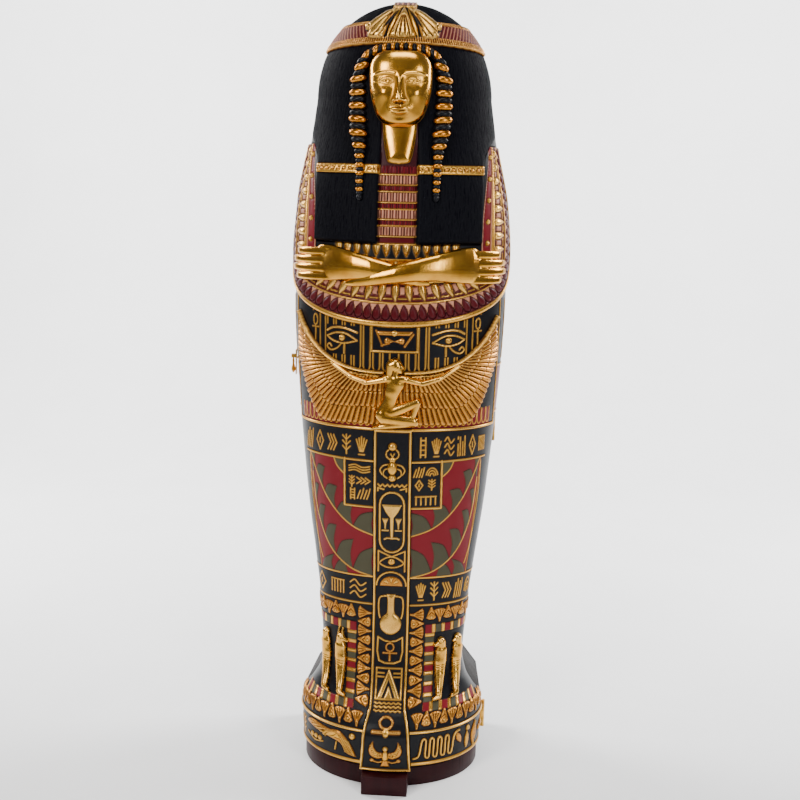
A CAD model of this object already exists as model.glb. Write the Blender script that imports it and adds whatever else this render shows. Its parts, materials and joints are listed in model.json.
# %% [markdown]
# # A mummy-shaped coffin cabinet
# The real thing is a life-size display cabinet: a cast, gilded and painted front door hung on a
# dark wooden case over a maroon plinth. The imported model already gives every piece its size,
# place and joint. This lesson dresses it: the door gets its carving, paint and gold leaf, the
# case its stained boards, and the small fittings their brass.

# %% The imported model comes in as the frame
import json
import math

import bmesh
import bpy
import numpy as np
from mathutils import Matrix, Vector

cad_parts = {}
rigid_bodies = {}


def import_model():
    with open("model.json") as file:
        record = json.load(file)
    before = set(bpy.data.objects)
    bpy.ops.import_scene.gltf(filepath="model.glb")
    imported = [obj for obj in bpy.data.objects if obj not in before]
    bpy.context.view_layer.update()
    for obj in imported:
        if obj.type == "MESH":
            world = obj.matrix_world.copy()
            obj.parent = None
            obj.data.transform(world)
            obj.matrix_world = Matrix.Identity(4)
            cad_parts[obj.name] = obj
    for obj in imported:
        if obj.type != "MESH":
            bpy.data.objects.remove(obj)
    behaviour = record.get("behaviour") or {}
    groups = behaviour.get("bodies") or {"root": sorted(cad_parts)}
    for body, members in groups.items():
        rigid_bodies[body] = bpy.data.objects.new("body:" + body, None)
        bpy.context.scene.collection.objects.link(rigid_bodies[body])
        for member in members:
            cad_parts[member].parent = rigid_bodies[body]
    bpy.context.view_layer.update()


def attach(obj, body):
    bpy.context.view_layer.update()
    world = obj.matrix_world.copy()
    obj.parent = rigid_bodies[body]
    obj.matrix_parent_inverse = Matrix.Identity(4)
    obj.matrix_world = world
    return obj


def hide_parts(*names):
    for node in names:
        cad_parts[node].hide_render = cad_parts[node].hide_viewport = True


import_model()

# %% [markdown]
# ## The bare form of the lid
# The front is one long curve round the body: half an ellipse at every height, whose width and
# depth follow a few stations from foot to crown. The model was drawn from the same stations, so
# they are repeated here and the carving lands exactly on it.

# %% Stations of the lid and the curve through them
FOOT_Z, LID_HEIGHT = 0.053, 1.827
TOP_Z = FOOT_Z + LID_HEIGHT
SHOULDER_HALF, LID_DEPTH, RIM_DEPTH, LID_WALL = 0.2565, 0.200, 0.012, 0.009
DOME_SHARE = 0.880
STATIONS = np.array((
    (0.000, 0.887, 0.980), (0.048, 0.903, 1.000), (0.067, 0.893, 0.930),
    (0.083, 0.807, 0.815), (0.102, 0.733, 0.715), (0.130, 0.696, 0.635),
    (0.168, 0.713, 0.595), (0.217, 0.741, 0.590), (0.272, 0.789, 0.635),
    (0.343, 0.856, 0.740), (0.409, 0.904, 0.830), (0.475, 0.945, 0.890),
    (0.546, 0.979, 0.930), (0.622, 1.000, 0.950), (0.683, 1.000, 0.930),
    (0.748, 0.963, 0.880), (0.792, 0.914, 0.830), (0.825, 0.863, 0.790),
    (0.880, 0.801, 0.760),
))


def height(share):
    """Height above the floor of a share of the lid."""
    return FOOT_Z + share * LID_HEIGHT


def fade(x, low, high):
    """0 below low, 1 above high, and smooth between."""
    t = np.clip((x - low) / (high - low), 0, 1)
    return t * t * (3 - 2 * t)


def station_curve(column, share):
    """A curve through the stations that never overshoots them."""
    xs, ys = STATIONS[:, 0], STATIONS[:, column]
    step = np.diff(xs)
    rise = np.diff(ys) / step
    slope = np.concatenate([[rise[0]], np.zeros(len(xs) - 2), [rise[-1]]])
    for i in range(1, len(xs) - 1):
        if rise[i - 1] * rise[i] > 0:
            a, b = 2 * step[i] + step[i - 1], step[i] + 2 * step[i - 1]
            slope[i] = (a + b) / (a / rise[i - 1] + b / rise[i])
    k = np.clip(np.searchsorted(xs, share) - 1, 0, len(xs) - 2)
    t = np.clip((share - xs[k]) / step[k], 0, 1)
    low = (2 * t**3 - 3 * t**2 + 1) * ys[k] + (t**3 - 2 * t**2 + t) * step[k] * slope[k]
    return low + (3 * t**2 - 2 * t**3) * ys[k + 1] + (t**3 - t**2) * step[k] * slope[k + 1]


def crown(z):
    """How far the crown has closed in: 1 below the dome, 0 at the very top."""
    t = np.clip(((z - FOOT_Z) / LID_HEIGHT - DOME_SHARE) / (1 - DOME_SHARE), 0, 1)
    return np.sqrt(np.maximum(0, 1 - t * t))


def half_width(z):
    return SHOULDER_HALF * station_curve(1, (z - FOOT_Z) / LID_HEIGHT) * crown(z)


def bulge(z):
    """Depth of the curved front, without the straight rim behind it."""
    return (LID_DEPTH * station_curve(2, (z - FOOT_Z) / LID_HEIGHT) - RIM_DEPTH) * crown(z)


print("widest at", round(2000 * float(half_width(np.array(height(0.65))))), "mm")

# %% [markdown]
# ## A chart of the lid
# Carving is easiest to draw on a flat sheet that is then wrapped round the form, as a carver
# chalks a pattern on paper first. The chart has a row for every 2 mm of the front's profile and
# a column for every 2 mm round it, and each point knows its place and which way is out.

# %% Chart the bare form
ROWS, COLUMNS, RIM_COLUMNS, WALL_STEP = 1009, 361, 6, 6


def chart_heights():
    """Heights of the rows, evenly spaced along the middle of the front."""
    z = TOP_Z - 2e-5 - (TOP_Z - 2e-5 - FOOT_Z) * (1 - np.linspace(0, 1, 6001)) ** 2
    way = np.concatenate([[0], np.cumsum(np.hypot(np.diff(z), np.diff(bulge(z))))])
    return np.interp(np.linspace(0, way[-1], ROWS), way, z)


def chart_form(row_z):
    """Place, outward direction and way round from the middle of every point of the chart."""
    angle = np.linspace(-math.pi / 2, math.pi / 2, 721)
    wide, deep = half_width(row_z)[:, None], bulge(row_z)[:, None]
    x, y = wide * np.sin(angle), -(RIM_DEPTH + deep * np.cos(angle))
    way = np.concatenate([np.zeros((ROWS, 1)), np.cumsum(np.hypot(np.diff(x), np.diff(y)), axis=1)], axis=1)
    half = way[:, -1] / 2
    share = np.linspace(0, 1, COLUMNS - 2 * RIM_COLUMNS)
    place = np.zeros((ROWS, COLUMNS, 3))
    across = np.zeros((ROWS, COLUMNS))
    rim = np.linspace(0, RIM_DEPTH, RIM_COLUMNS + 1)[:-1]
    for i in range(ROWS):
        turn = np.interp(share * way[i, -1], way[i], angle)
        curve_x, curve_y = wide[i] * np.sin(turn), -(RIM_DEPTH + deep[i] * np.cos(turn))
        edge = np.full(RIM_COLUMNS, wide[i, 0])
        place[i, :, 0] = np.concatenate([-edge, curve_x, edge])
        place[i, :, 1] = np.concatenate([-rim, curve_y, -rim[::-1]])
        beyond = half[i] + RIM_DEPTH - rim
        across[i] = np.concatenate([-beyond, (2 * share - 1) * half[i], beyond[::-1]])
    place[..., 2] = row_z[:, None]
    out = np.cross(np.gradient(place, axis=1), np.gradient(place, axis=0))
    out[-1] = (0, 0, 1)
    return place, out / np.linalg.norm(out, axis=2, keepdims=True), across, half


row_z = chart_heights()
form, outward, chart_u, half_girth = chart_form(row_z)
print("chart", form.shape[:2], "cell", round(float(np.diff(chart_u[600])[180]) * 1000, 2), "mm")

# %% Find the place of any point of the chart


def on_lid(u, z, lift):
    """A point so far round from the middle, so high and so far proud of the bare form."""
    u, z, lift = np.broadcast_arrays(np.asarray(u, float), np.asarray(z, float), np.asarray(lift, float))
    row = np.clip(np.interp(z, row_z, np.arange(ROWS)), 0, ROWS - 1.001)
    share = np.clip(u / np.interp(z, row_z, half_girth), -1, 1)
    column = RIM_COLUMNS + (share + 1) / 2 * (COLUMNS - 1 - 2 * RIM_COLUMNS)
    i, j = row.astype(int), np.minimum(column.astype(int), COLUMNS - 2)
    a, b = (row - i)[..., None], (column - j)[..., None]
    found = []
    for field in (form, outward):
        low = field[i, j] * (1 - b) + field[i, j + 1] * b
        high = field[i + 1, j] * (1 - b) + field[i + 1, j + 1] * b
        found.append(low * (1 - a) + high * a)
    return found[0] + found[1] * lift[..., None]


print("brow at", np.round(on_lid(0, 1.778, 0), 3))

# %% [markdown]
# ## Paints, leaf and the carver's tools
# Every ornament is drawn twice at once: as relief, in metres proud of the form, and as colour.
# A sheet holds both for its points, and the same tools draw on the large chart and on the small
# finer sheets used later for figures. Distances are signed, below zero inside a shape, so an
# edge can be softened over one cell.

# %% The paints, each a colour and how much of it is leaf
GOLD, COPPER = ((0.74, 0.37, 0.048), 1.0), ((0.52, 0.200, 0.024), 1.0)
PALE_GOLD, PINK = ((0.76, 0.42, 0.085), 1.0), ((0.50, 0.21, 0.125), 0.0)
RED, DARK_RED = ((0.150, 0.0030, 0.0085), 0.0), ((0.068, 0.0018, 0.0045), 0.0)
BLACK, GREEN = ((0.0022, 0.0023, 0.0042), 0.0), ((0.050, 0.046, 0.024), 0.0)
BROWN = ((0.050, 0.014, 0.004), 0.0)


class Sheet:
    """Part of the lid laid flat: where its points are, their relief and their paint."""

    def __init__(self, u, z, pitch):
        self.u, self.z, self.pitch = u, z, pitch
        self.lift, self.proud, self.gilt = np.zeros(u.shape), np.zeros(u.shape), np.zeros(u.shape)
        self.paint = np.zeros(u.shape + (3,)) + BLACK[0]
        self.polish = np.zeros(u.shape)

    def near(self, points, pad):
        """The slice of the sheet round some points, with its places."""
        points = np.asarray(points, float).reshape(-1, 2)
        (u0, z0), (u1, z1) = points.min(0) - pad, points.max(0) + pad
        rows = np.nonzero((self.z[:, 0] >= z0) & (self.z[:, 0] <= z1))[0]
        if not len(rows):
            return None
        rows = slice(rows[0], rows[-1] + 1)
        columns = np.nonzero(((self.u[rows] >= u0) & (self.u[rows] <= u1)).any(axis=0))[0]
        if not len(columns):
            return None
        key = (rows, slice(columns[0], columns[-1] + 1))
        return key, self.u[key], self.z[key]

    def lay(self, key, distance, finish, rise=None, rounded=0.0):
        """Lay one finish inside a distance, and raise it unless the rise is left out."""
        cover = np.clip(0.5 - distance / self.pitch, 0, 1)
        colour, metal = finish
        self.paint[key] += (np.array(colour) - self.paint[key]) * cover[..., None]
        self.gilt[key] += (metal - self.gilt[key]) * cover
        if rise is not None:
            top = rise
            if rounded:
                depth = np.clip(-distance / rounded, 0, 1)
                top = rise * np.sqrt(1 - (1 - depth) ** 2)
            self.proud[key] += (top - self.proud[key]) * cover

    def buff(self, key, distance, polish):
        """Give what lies inside a distance its own gloss."""
        self.polish[key] = np.where(distance < 0, polish, self.polish[key])


def line_distance(u, z, points, closed=False):
    """Distance to a line through the points."""
    near = np.full(u.shape, 9.0)
    points = list(points)
    for (a, b), (c, d) in zip(points, points[1:] + points[: 1 if closed else 0]):
        length = max((c - a) ** 2 + (d - b) ** 2, 1e-12)
        t = np.clip(((u - a) * (c - a) + (z - b) * (d - b)) / length, 0, 1)
        near = np.minimum(near, np.hypot(u - a - t * (c - a), z - b - t * (d - b)))
    return near


def shape_distance(u, z, points):
    """Signed distance to a closed outline."""
    points = list(points)
    odd = np.zeros(u.shape, bool)
    for (a, b), (c, d) in zip(points, points[1:] + points[:1]):
        if b != d:
            odd ^= ((b > z) != (d > z)) & (u < a + (z - b) * (c - a) / (d - b))
    away = line_distance(u, z, points, closed=True)
    return np.where(odd, -away, away)


def stroke(sheet, points, width, finish=GOLD, rise=0.0014, closed=False):
    """A raised line, rounded across."""
    found = sheet.near(points, width + 3 * sheet.pitch)
    if found:
        key, u, z = found
        distance = line_distance(u, z, points, closed) - width / 2
        sheet.lay(key, distance, finish, rise, width / 2)


def solid(sheet, points, finish=GOLD, rise=None, rounded=0.0):
    """A filled outline."""
    found = sheet.near(points, 3 * sheet.pitch)
    if found:
        key, u, z = found
        sheet.lay(key, shape_distance(u, z, points), finish, rise, rounded)


def disc(sheet, centre, radius, finish=GOLD, rise=0.002):
    """A round boss."""
    found = sheet.near([centre], radius + 3 * sheet.pitch)
    if found:
        key, u, z = found
        sheet.lay(key, np.hypot(u - centre[0], z - centre[1]) - radius, finish, rise, radius)


def arc(centre, radii, start, end, steps=14):
    """Points along part of an ellipse, in degrees from the right."""
    turns = np.radians(np.linspace(start, end, steps))
    return [(centre[0] + radii[0] * math.cos(a), centre[1] + radii[1] * math.sin(a)) for a in turns]


def smooth_path(points, steps=5):
    """Points on a soft curve through the given ones."""
    p = [np.array(q, float) for q in (points[0], *points, points[-1])]
    path = []
    for a, b, c, d in zip(p, p[1:], p[2:], p[3:]):
        for t in np.linspace(0, 1, steps, endpoint=False):
            bend = 2 * b + (c - a) * t + (2 * a - 5 * b + 4 * c - d) * t**2 + (3 * b - 3 * c + d - a) * t**3
            path.append(tuple(bend / 2))
    return path + [tuple(p[-1])]


STEPS_ALONG = np.linspace(0, 1, 9)


def both_sides(start, end, swell):
    """An outline that lies so far to each side of the way from start to end."""
    start, end = np.array(start, float), np.array(end, float)
    along = end - start
    side = np.array([-along[1], along[0]]) / max(np.hypot(*along), 1e-9)
    steps = list(zip(STEPS_ALONG, swell))
    left = [tuple(start + along * a + side * b) for a, b in steps]
    return left + [tuple(start + along * a - side * b) for a, b in steps[-2:0:-1]]


def leaf(start, end, width, belly=0.5):
    """The outline of a pointed leaf, widest at its belly."""
    bent = STEPS_ALONG ** (math.log(0.5) / math.log(belly))
    return both_sides(start, end, np.sin(math.pi * bent) * width / 2)


def tongue(start, end, wide_start, wide_end, steps=5):
    """The outline of a feather: straight sides and a round tip at the end."""
    start, end = np.array(start, float), np.array(end, float)
    along = (end - start) / max(np.hypot(*(end - start)), 1e-9)
    side = np.array([-along[1], along[0]])
    tip = [end + side * wide_end / 2 * math.cos(a) + along * wide_end / 2 * (math.sin(a) - 1)
           for a in np.linspace(0, math.pi, steps)]
    return [tuple(p) for p in (start - side * wide_start / 2, start + side * wide_start / 2, *tip)]


lid = Sheet(chart_u, np.repeat(row_z[:, None], COLUMNS, axis=1), 0.0020)
print("sheet of", lid.u.size, "points")

# %% [markdown]
# ## The red field on the legs
# Below the wings the legs are painted red. Thin gilded arcs sweep down from the sides to the
# column, and olive green fins stand side by side on them and lean inwards. All of it is nearly
# flat on the real door, so it gets colour and about a millimetre of relief.

# %% Paint the red field, its fins and its arcs
BESIDE_COLUMN, PAST_SEAM = 0.040, 0.40


def mirrored(points, side):
    return [(side * u, z) for u, z in points]


def block(u0, u1, z0, z1):
    return [(u0, z0), (u1, z0), (u1, z1), (u0, z1)]


def ground_coat(side, z0, z1):
    """Black paint from the column past the seam."""
    solid(lid, mirrored(block(BESIDE_COLUMN, PAST_SEAM, z0, z1), side), BLACK, 0.0)


ARC_HIGH = (
    (0.234, 0.826), (0.194, 0.750), (0.166, 0.708), (0.130, 0.670), (0.092, 0.644), (0.044, 0.627),
)
ARC_LOW = ((0.222, 0.770), (0.205, 0.670), (0.163, 0.583), (0.105, 0.535), (0.044, 0.517))
ARC_SMALL = ((0.150, 0.822), (0.140, 0.800), (0.121, 0.782))
ARC_OUTER = ((0.234, 0.812), (0.229, 0.720), (0.208, 0.600), (0.190, 0.545))
FIELD_EDGE = [(0.236, 0.902), (0.232, 0.80), (0.216, 0.66), (0.196, 0.512)]


def fins_on(line, count, tall, side):
    """Green fins side by side on a curved line that ends at the column."""
    line = np.array(smooth_path(line, 6))
    way = np.concatenate([[0], np.cumsum(np.hypot(*np.diff(line, axis=0).T))])
    stops = np.linspace(way[-1], 0, count + 1)
    for inner_stop, outer_stop in zip(stops, stops[1:]):
        spots = np.linspace(outer_stop, inner_stop, 4)
        base = [tuple(float(np.interp(s, way, line[:, k])) for k in (0, 1)) for s in spots]
        (outer_u, outer_z), (inner_u, inner_z) = base[0], base[-1]
        tip = (inner_u - 0.002, inner_z + tall)
        shoulder_u = 0.45 * tip[0] + 0.55 * outer_u + 0.005
        shoulder_z = 0.45 * tip[1] + 0.55 * outer_z + 0.20 * tall
        back = smooth_path([tip, (shoulder_u, shoulder_z), (outer_u, outer_z)], 6)
        front = smooth_path([(inner_u, inner_z), (inner_u + 0.006, inner_z + 0.5 * tall), tip], 4)
        solid(lid, mirrored(front + back[1:] + base[1:-1], side), GREEN, 0.0007, 0.003)
        stroke(lid, mirrored(back, side), 0.0012, BLACK, -0.0002)


for side in (-1, 1):
    field = [(BESIDE_COLUMN, 0.512), (BESIDE_COLUMN, 0.902)] + FIELD_EDGE
    solid(lid, mirrored(field, side), RED, 0.0)
    solid(lid, mirrored([(0.119, 0.822), *ARC_SMALL], side), GREEN, 0.0007)
    fins_on(((0.196, 0.517), (0.110, 0.517)), 2, 0.046, side)
    fins_on(ARC_LOW, 6, 0.080, side)
    fins_on(ARC_HIGH, 5, 0.064, side)
    flank = [(PAST_SEAM, 0.46), (PAST_SEAM, 0.91)] + FIELD_EDGE + [(0.19, 0.46)]
    solid(lid, mirrored(flank, side), BLACK, 0.0)
    stroke(lid, mirrored(smooth_path(FIELD_EDGE), side), 0.0022, COPPER, 0.0009)
    for points in (ARC_HIGH, ARC_LOW, ARC_SMALL, ARC_OUTER):
        stroke(lid, mirrored(smooth_path(points), side), 0.0026, GOLD, 0.0012)
print("painted the red field")

# %% [markdown]
# ## Bands of marks
# The real bands carry an inscription. A library part says nothing, so these rows only have the
# rhythm of one: shallow raised strokes such as combs, rays, ladders and waves that spell
# nothing. Each mark is a few lines on a square from -1 to 1, placed and sized where it is used.

# %% Shapes of the marks
MARKS = {
    "hatch": [
        smooth_path([(a - 0.3, -1.0), (a, 0.0), (a + 0.2, b)])
        for a, b in ((-0.8, 0.6), (-0.25, 1.0), (0.3, 0.7), (0.8, 1.0))
    ],
    "comb": [[(-0.9, 0.7), (0.9, 0.7)]]
    + [[(-0.85 + 0.425 * k, 0.7), (-0.85 + 0.425 * k, -0.7)] for k in range(5)],
    "lozenge": [
        [(-0.8, 0.0), (0.0, 1.0), (0.8, 0.0), (0.0, -1.0), (-0.8, 0.0)],
        [(0.0, -0.25), (0.0, 0.25)],
    ],
    "rays": [[(0.30 * a, -0.6), (a, 0.9 - 0.35 * abs(a))] for a in (-0.9, -0.45, 0.0, 0.45, 0.9)]
    + [[(-0.5, -0.95), (0.5, -0.95)]],
    "posts": [[(a, -1.0), (a, b)] for a, b in ((-0.8, 0.2), (-0.3, 0.9), (0.3, 0.4), (0.8, 1.0))]
    + [[(-0.8, 0.75), (-0.8, 0.95)]],
    "chevrons": [[(a - 0.35, 0.8), (a + 0.3, 0.0), (a - 0.35, -0.8)] for a in (-0.6, 0.0, 0.6)],
    "arches": [arc((0, -0.8), (r, 1.7 * r), 10, 170, 10) for r in (0.35, 0.68, 1.0)],
    "ladder": [[(a, -1.0), (a, 1.0)] for a in (-0.5, 0.5)]
    + [[(-0.5, b), (0.5, b)] for b in (-0.75, -0.25, 0.25, 0.75)],
    "spray": [[(0.0, -1.0), (0.0, 1.0)]]
    + [[(0.0, b - 0.4), (a, b)] for b in (-0.2, 0.35, 0.9) for a in (-0.7, 0.7)],
    "waves": [
        smooth_path([(-1.0, b), (-0.4, b + 0.35), (0.3, b - 0.25), (1.0, b + 0.1)])
        for b in (-0.65, 0.0, 0.65)
    ],
}


def mark(sheet, name, u, z, wide, high, width=0.0030):
    """One mark, reaching so far to either side of its place, and so far up and down."""
    for points in MARKS[name]:
        stroke(sheet, [(u + a * wide, z + b * high) for a, b in points], width, GOLD, 0.0013)


def mark_row(sheet, names, start, end, z, high):
    """Marks side by side along a band."""
    spots = np.linspace(start, end, 2 * len(names) + 1)[1::2]
    for name, u in zip(names, spots):
        mark(sheet, name, u, z, abs(end - start) / len(names) * 0.36, high)


# %% Paint the two bands and the boxes
UPPER_BAND = {
    -1: ("hatch", "lozenge", "chevrons", "spray", "rays"),
    1: ("ladder", "rays", "waves", "posts", "lozenge", "comb"),
}
LOWER_BAND = {
    -1: ("lozenge", "comb", "waves"),
    1: ("rays", "spray", "chevrons", "hatch", "arches"),
}
BOX_MARKS = (
    ("waves", -0.081, 0.798, 0.026, 0.010), ("spray", -0.100, 0.765, 0.009, 0.014),
    ("chevrons", -0.070, 0.768, 0.018, 0.010), ("ladder", -0.098, 0.733, 0.010, 0.014),
    ("hatch", -0.069, 0.735, 0.015, 0.013), ("arches", 0.095, 0.795, 0.014, 0.012),
    ("hatch", 0.064, 0.795, 0.012, 0.012), ("lozenge", 0.064, 0.762, 0.011, 0.013),
    ("spray", 0.095, 0.763, 0.011, 0.013), ("comb", 0.081, 0.722, 0.028, 0.015),
)
for side in (-1, 1):
    ground_coat(side, 0.820, 0.905)
    stroke(lid, mirrored([(BESIDE_COLUMN, 0.820), (0.250, 0.822)], side), 0.0040, GOLD, 0.0018)
    mark_row(lid, UPPER_BAND[side][::side], side * 0.056, side * 0.250, 0.857, 0.024)
    ground_coat(side, 0.440, 0.515)
    for z in (0.517, 0.444):
        stroke(lid, mirrored([(BESIDE_COLUMN, z), (0.30, z)], side), 0.0036, GOLD, 0.0016)
    mark_row(lid, LOWER_BAND[side][::side], side * 0.056, side * 0.226, 0.480, 0.024)
    solid(lid, mirrored(block(BESIDE_COLUMN, 0.119, 0.702, 0.818), side), BLACK, 0.0)
    box = [(0.119, 0.822), (0.119, 0.702), (BESIDE_COLUMN, 0.702)]
    stroke(lid, mirrored(box, side), 0.0044, GOLD, 0.0020)
for name, u, z, wide, high in BOX_MARKS:
    mark(lid, name, u, z, wide, high, 0.0028)
print("painted the bands")

# %% [markdown]
# ## Fans, striped frame and foot
# Lotus fans turn round the lower legs and over the foot. A fan is a gilded wedge with a curved
# edge and fine ribs; every second one is a closed bud. A frame of red, gold and green blocks
# holds the four standing figures, which get finer sheets of their own further down.

# %% A fan and a bud
FAN_RIM = [(-0.46, 0.88), (-0.32, 0.96), (-0.12, 1.0), (0.12, 1.0), (0.32, 0.96), (0.46, 0.88)]
FAN_EDGE = [(-0.05, 0.0), (-0.13, 0.35), *FAN_RIM, (0.13, 0.35), (0.05, 0.0)]
BUD_RIM = [(-0.36, 0.82), (-0.18, 0.95), (0.18, 0.95), (0.36, 0.82)]
BUD_EDGE = [(-0.05, 0.0), (-0.22, 0.38), *BUD_RIM, (0.22, 0.38), (0.05, 0.0)]


def turned(points, tip, size, turn):
    """Points of a unit drawing, sized and turned in degrees about its tip."""
    c, s = math.cos(math.radians(turn)), math.sin(math.radians(turn))
    return [(tip[0] + size * (a * c + b * s), tip[1] + size * (b * c - a * s)) for a, b in points]


def fan(tip, size, turn):
    """A lotus fan growing from its tip, turned in degrees from straight up."""
    solid(lid, turned(FAN_EDGE, tip, size, turn), COPPER, 0.0034, 0.0035)
    for a in (-0.26, 0.0, 0.26):
        rib = turned([(a * 0.3, 0.40), (a, 0.96)], tip, size, turn)
        stroke(lid, rib, 0.0015, COPPER, 0.0012)


def bud(tip, size, turn):
    """A closed lotus bud growing from its tip."""
    solid(lid, turned(BUD_EDGE, tip, size, turn), COPPER, 0.0034, 0.0035)
    fold = turned([(-0.26, 0.62), (0, 0.38), (0.26, 0.62)], tip, size, turn)
    stroke(lid, fold, 0.0015, COPPER, 0.0012)
    disc(lid, turned([(0, 0.74)], tip, size, turn)[0], size * 0.11, PALE_GOLD, 0.0040)


# %% Fans and buds in their rows
for side in (-1, 1):
    ground_coat(side, 0.053, 0.441)
    for k in range(8):
        u = side * (0.1015 + 0.0225 * k)
        if k % 2:
            fan((u, 0.398), 0.0345, 0)
        else:
            bud((u, 0.438), 0.0345, 180)
    for k in range(10):
        z = 0.4195 - 0.0236 * k
        if k % 2:
            bud((side * 0.083, z), 0.0350, side * -90)
        else:
            fan((side * 0.0475, z), 0.0350, side * 90)
    for k, u in enumerate(np.linspace(0.075, 0.335, 12)):
        low = 0.152 + 0.004 * fade(u, 0.10, 0.30)
        if k % 2:
            bud((side * u, low + 0.038), 0.0335, 180)
        else:
            fan((side * u, low), 0.0335, 0)
print("fans placed")

# %% The striped frame
STRIPES = (RED, GOLD, GREEN, GOLD)


def stripe_edges(start, end, pairs):
    """Edges of a row of wide coloured blocks with narrow gold ones between."""
    pitch = (end - start) / pairs
    edges = [start + pitch * (k // 2 + (0.68 if k % 2 else 0.0)) for k in range(2 * pairs)]
    return edges + [end]


levels, edges = stripe_edges(0.385, 0.192, 8), stripe_edges(0.0875, 0.2675, 7)
for side in (-1, 1):
    for k, (high, low) in enumerate(zip(levels, levels[1:])):
        solid(lid, mirrored(block(0.0875, 0.1110, low, high), side), STRIPES[k % 4], 0.0012, 0.002)
    for z0, z1 in ((0.371, 0.392), (0.188, 0.205)):
        for k, (a, b) in enumerate(zip(edges, edges[1:])):
            solid(lid, mirrored(block(a, b, z0, z1), side), STRIPES[k % 4], 0.0012, 0.002)
print("striped frame done")

# %% The foot's band: a resting bird, a coiled snake, a small figure and a plume
FOOT_LINE = (0.1410, 0.1472)
for side in (-1, 1):
    ground_coat(side, 0.053, FOOT_LINE[0])
    stroke(lid, mirrored([(0.050, 0.0590), (0.38, 0.0590)], side), 0.0080, GOLD, 0.0030)
    solid(lid, mirrored(block(0.045, PAST_SEAM, *FOOT_LINE), side), GOLD, 0.0050, 0.003)
wing_back = smooth_path([(-0.075, 0.070), (-0.090, 0.100), (-0.120, 0.130), (-0.150, 0.128)])
wing_tip = smooth_path([(-0.150, 0.128), (-0.215, 0.134), (-0.235, 0.120), (-0.160, 0.108)])
wing_front = smooth_path([(-0.160, 0.108), (-0.120, 0.100), (-0.102, 0.076), (-0.075, 0.070)])
solid(lid, wing_back + wing_tip + wing_front, COPPER, 0.0045, 0.006)
for k in range(7):
    t = k / 6
    root, bend = (-0.128 + 0.010 * t, 0.124 - 0.01 * t), (-0.160 - 0.008 * t, 0.122 - 0.012 * t)
    quill = smooth_path([root, bend, (-0.222 + 0.060 * t, 0.128 - 0.022 * t)])
    stroke(lid, quill, 0.0024, GOLD, 0.0058)
    barb = [(-0.118 + 0.022 * t, 0.120 - 0.012 * t), (-0.104 + 0.024 * t, 0.078 - 0.004 * t)]
    stroke(lid, barb, 0.0024, GOLD, 0.0056)
disc(lid, (-0.086, 0.124), 0.008, GOLD, 0.006)
stroke(lid, [(-0.130, 0.100), (-0.134, 0.078)], 0.0035, GOLD, 0.004)
for k in range(3):
    disc(lid, (-0.185 - 0.016 * k, 0.092), 0.0065, GOLD, 0.004)
stroke(lid, smooth_path([(-0.175, 0.086), (-0.205, 0.080), (-0.240, 0.090)]), 0.0035, GOLD, 0.003)
mark(lid, "spray", -0.266, 0.098, 0.012, 0.026, 0.0036)
mark(lid, "hatch", -0.296, 0.098, 0.013, 0.020, 0.0034)
snake = [(0.068, 0.074), (0.082, 0.082)]
for u in (0.021 * k for k in range(4)):
    snake += [(0.090 + u, 0.122), (0.100 + u, 0.120), (0.098 + u, 0.080), (0.108 + u, 0.078)]
snake += [(0.178, 0.118), (0.186, 0.128), (0.196, 0.130)]
stroke(lid, smooth_path(snake, 4), 0.0048, GOLD, 0.0040)
solid(lid, leaf((0.186, 0.126), (0.202, 0.094), 0.016), COPPER, 0.005, 0.006)
solid(lid, leaf((0.222, 0.070), (0.226, 0.120), 0.015), GOLD, 0.005, 0.006)
disc(lid, (0.227, 0.126), 0.007, GOLD, 0.006)
solid(lid, leaf((0.252, 0.068), (0.262, 0.134), 0.026), COPPER, 0.005, 0.008)
stroke(lid, [(0.252, 0.068), (0.262, 0.132)], 0.002, PALE_GOLD, 0.0062)
for k in range(3):
    disc(lid, (0.292 + 0.014 * k, 0.100 + 0.008 * (k % 2)), 0.008, COPPER, 0.005)
print("foot band done")

# %% [markdown]
# ## The column and the foot's panel
# A framed column runs down the middle, a little proud of the lid, and spreads into a thick panel
# on the foot. Its ornaments are gilded on glossy black: a beetle between two discs, goblets in
# an oval, an eye, a two-handled vase, a looped cross and a bird with raised wings.

# %% Raise the column and the panel
PANEL_Z = (0.053, 0.1078, 0.1407, 0.1626, 0.1900)
PANEL_HALF = (0.059, 0.056, 0.0549, 0.0519, 0.0460)
PANEL_LIFT = (0.0240, 0.0228, 0.0211, 0.0149, 0.0053)
COLUMN_HALF, COLUMN_TOP, COLUMN_LIFT = 0.044, height(0.4640), 0.004
RAIL = (
    (0.0562, 0.0570), (0.0528, 0.1078), (0.0518, 0.1407), (0.0490, 0.1626), (0.0425, 0.1920),
    (0.0415, 0.210), (0.0415, COLUMN_TOP - 0.003),
)


def raise_middle(sheet):
    """Column and panel as a broad form under their ornaments."""
    above = sheet.z >= PANEL_Z[-1]
    away = np.abs(sheet.u) - np.interp(sheet.z, PANEL_Z, PANEL_HALF)
    cover = np.clip(0.5 - away / sheet.pitch, 0, 1) * ~above
    sheet.lift += cover * np.interp(sheet.z, PANEL_Z, PANEL_LIFT)
    away = np.abs(sheet.u) - COLUMN_HALF
    cover = np.clip(0.5 - away / sheet.pitch, 0, 1) * above * (sheet.z < COLUMN_TOP)
    sheet.lift += cover * COLUMN_LIFT


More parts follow.
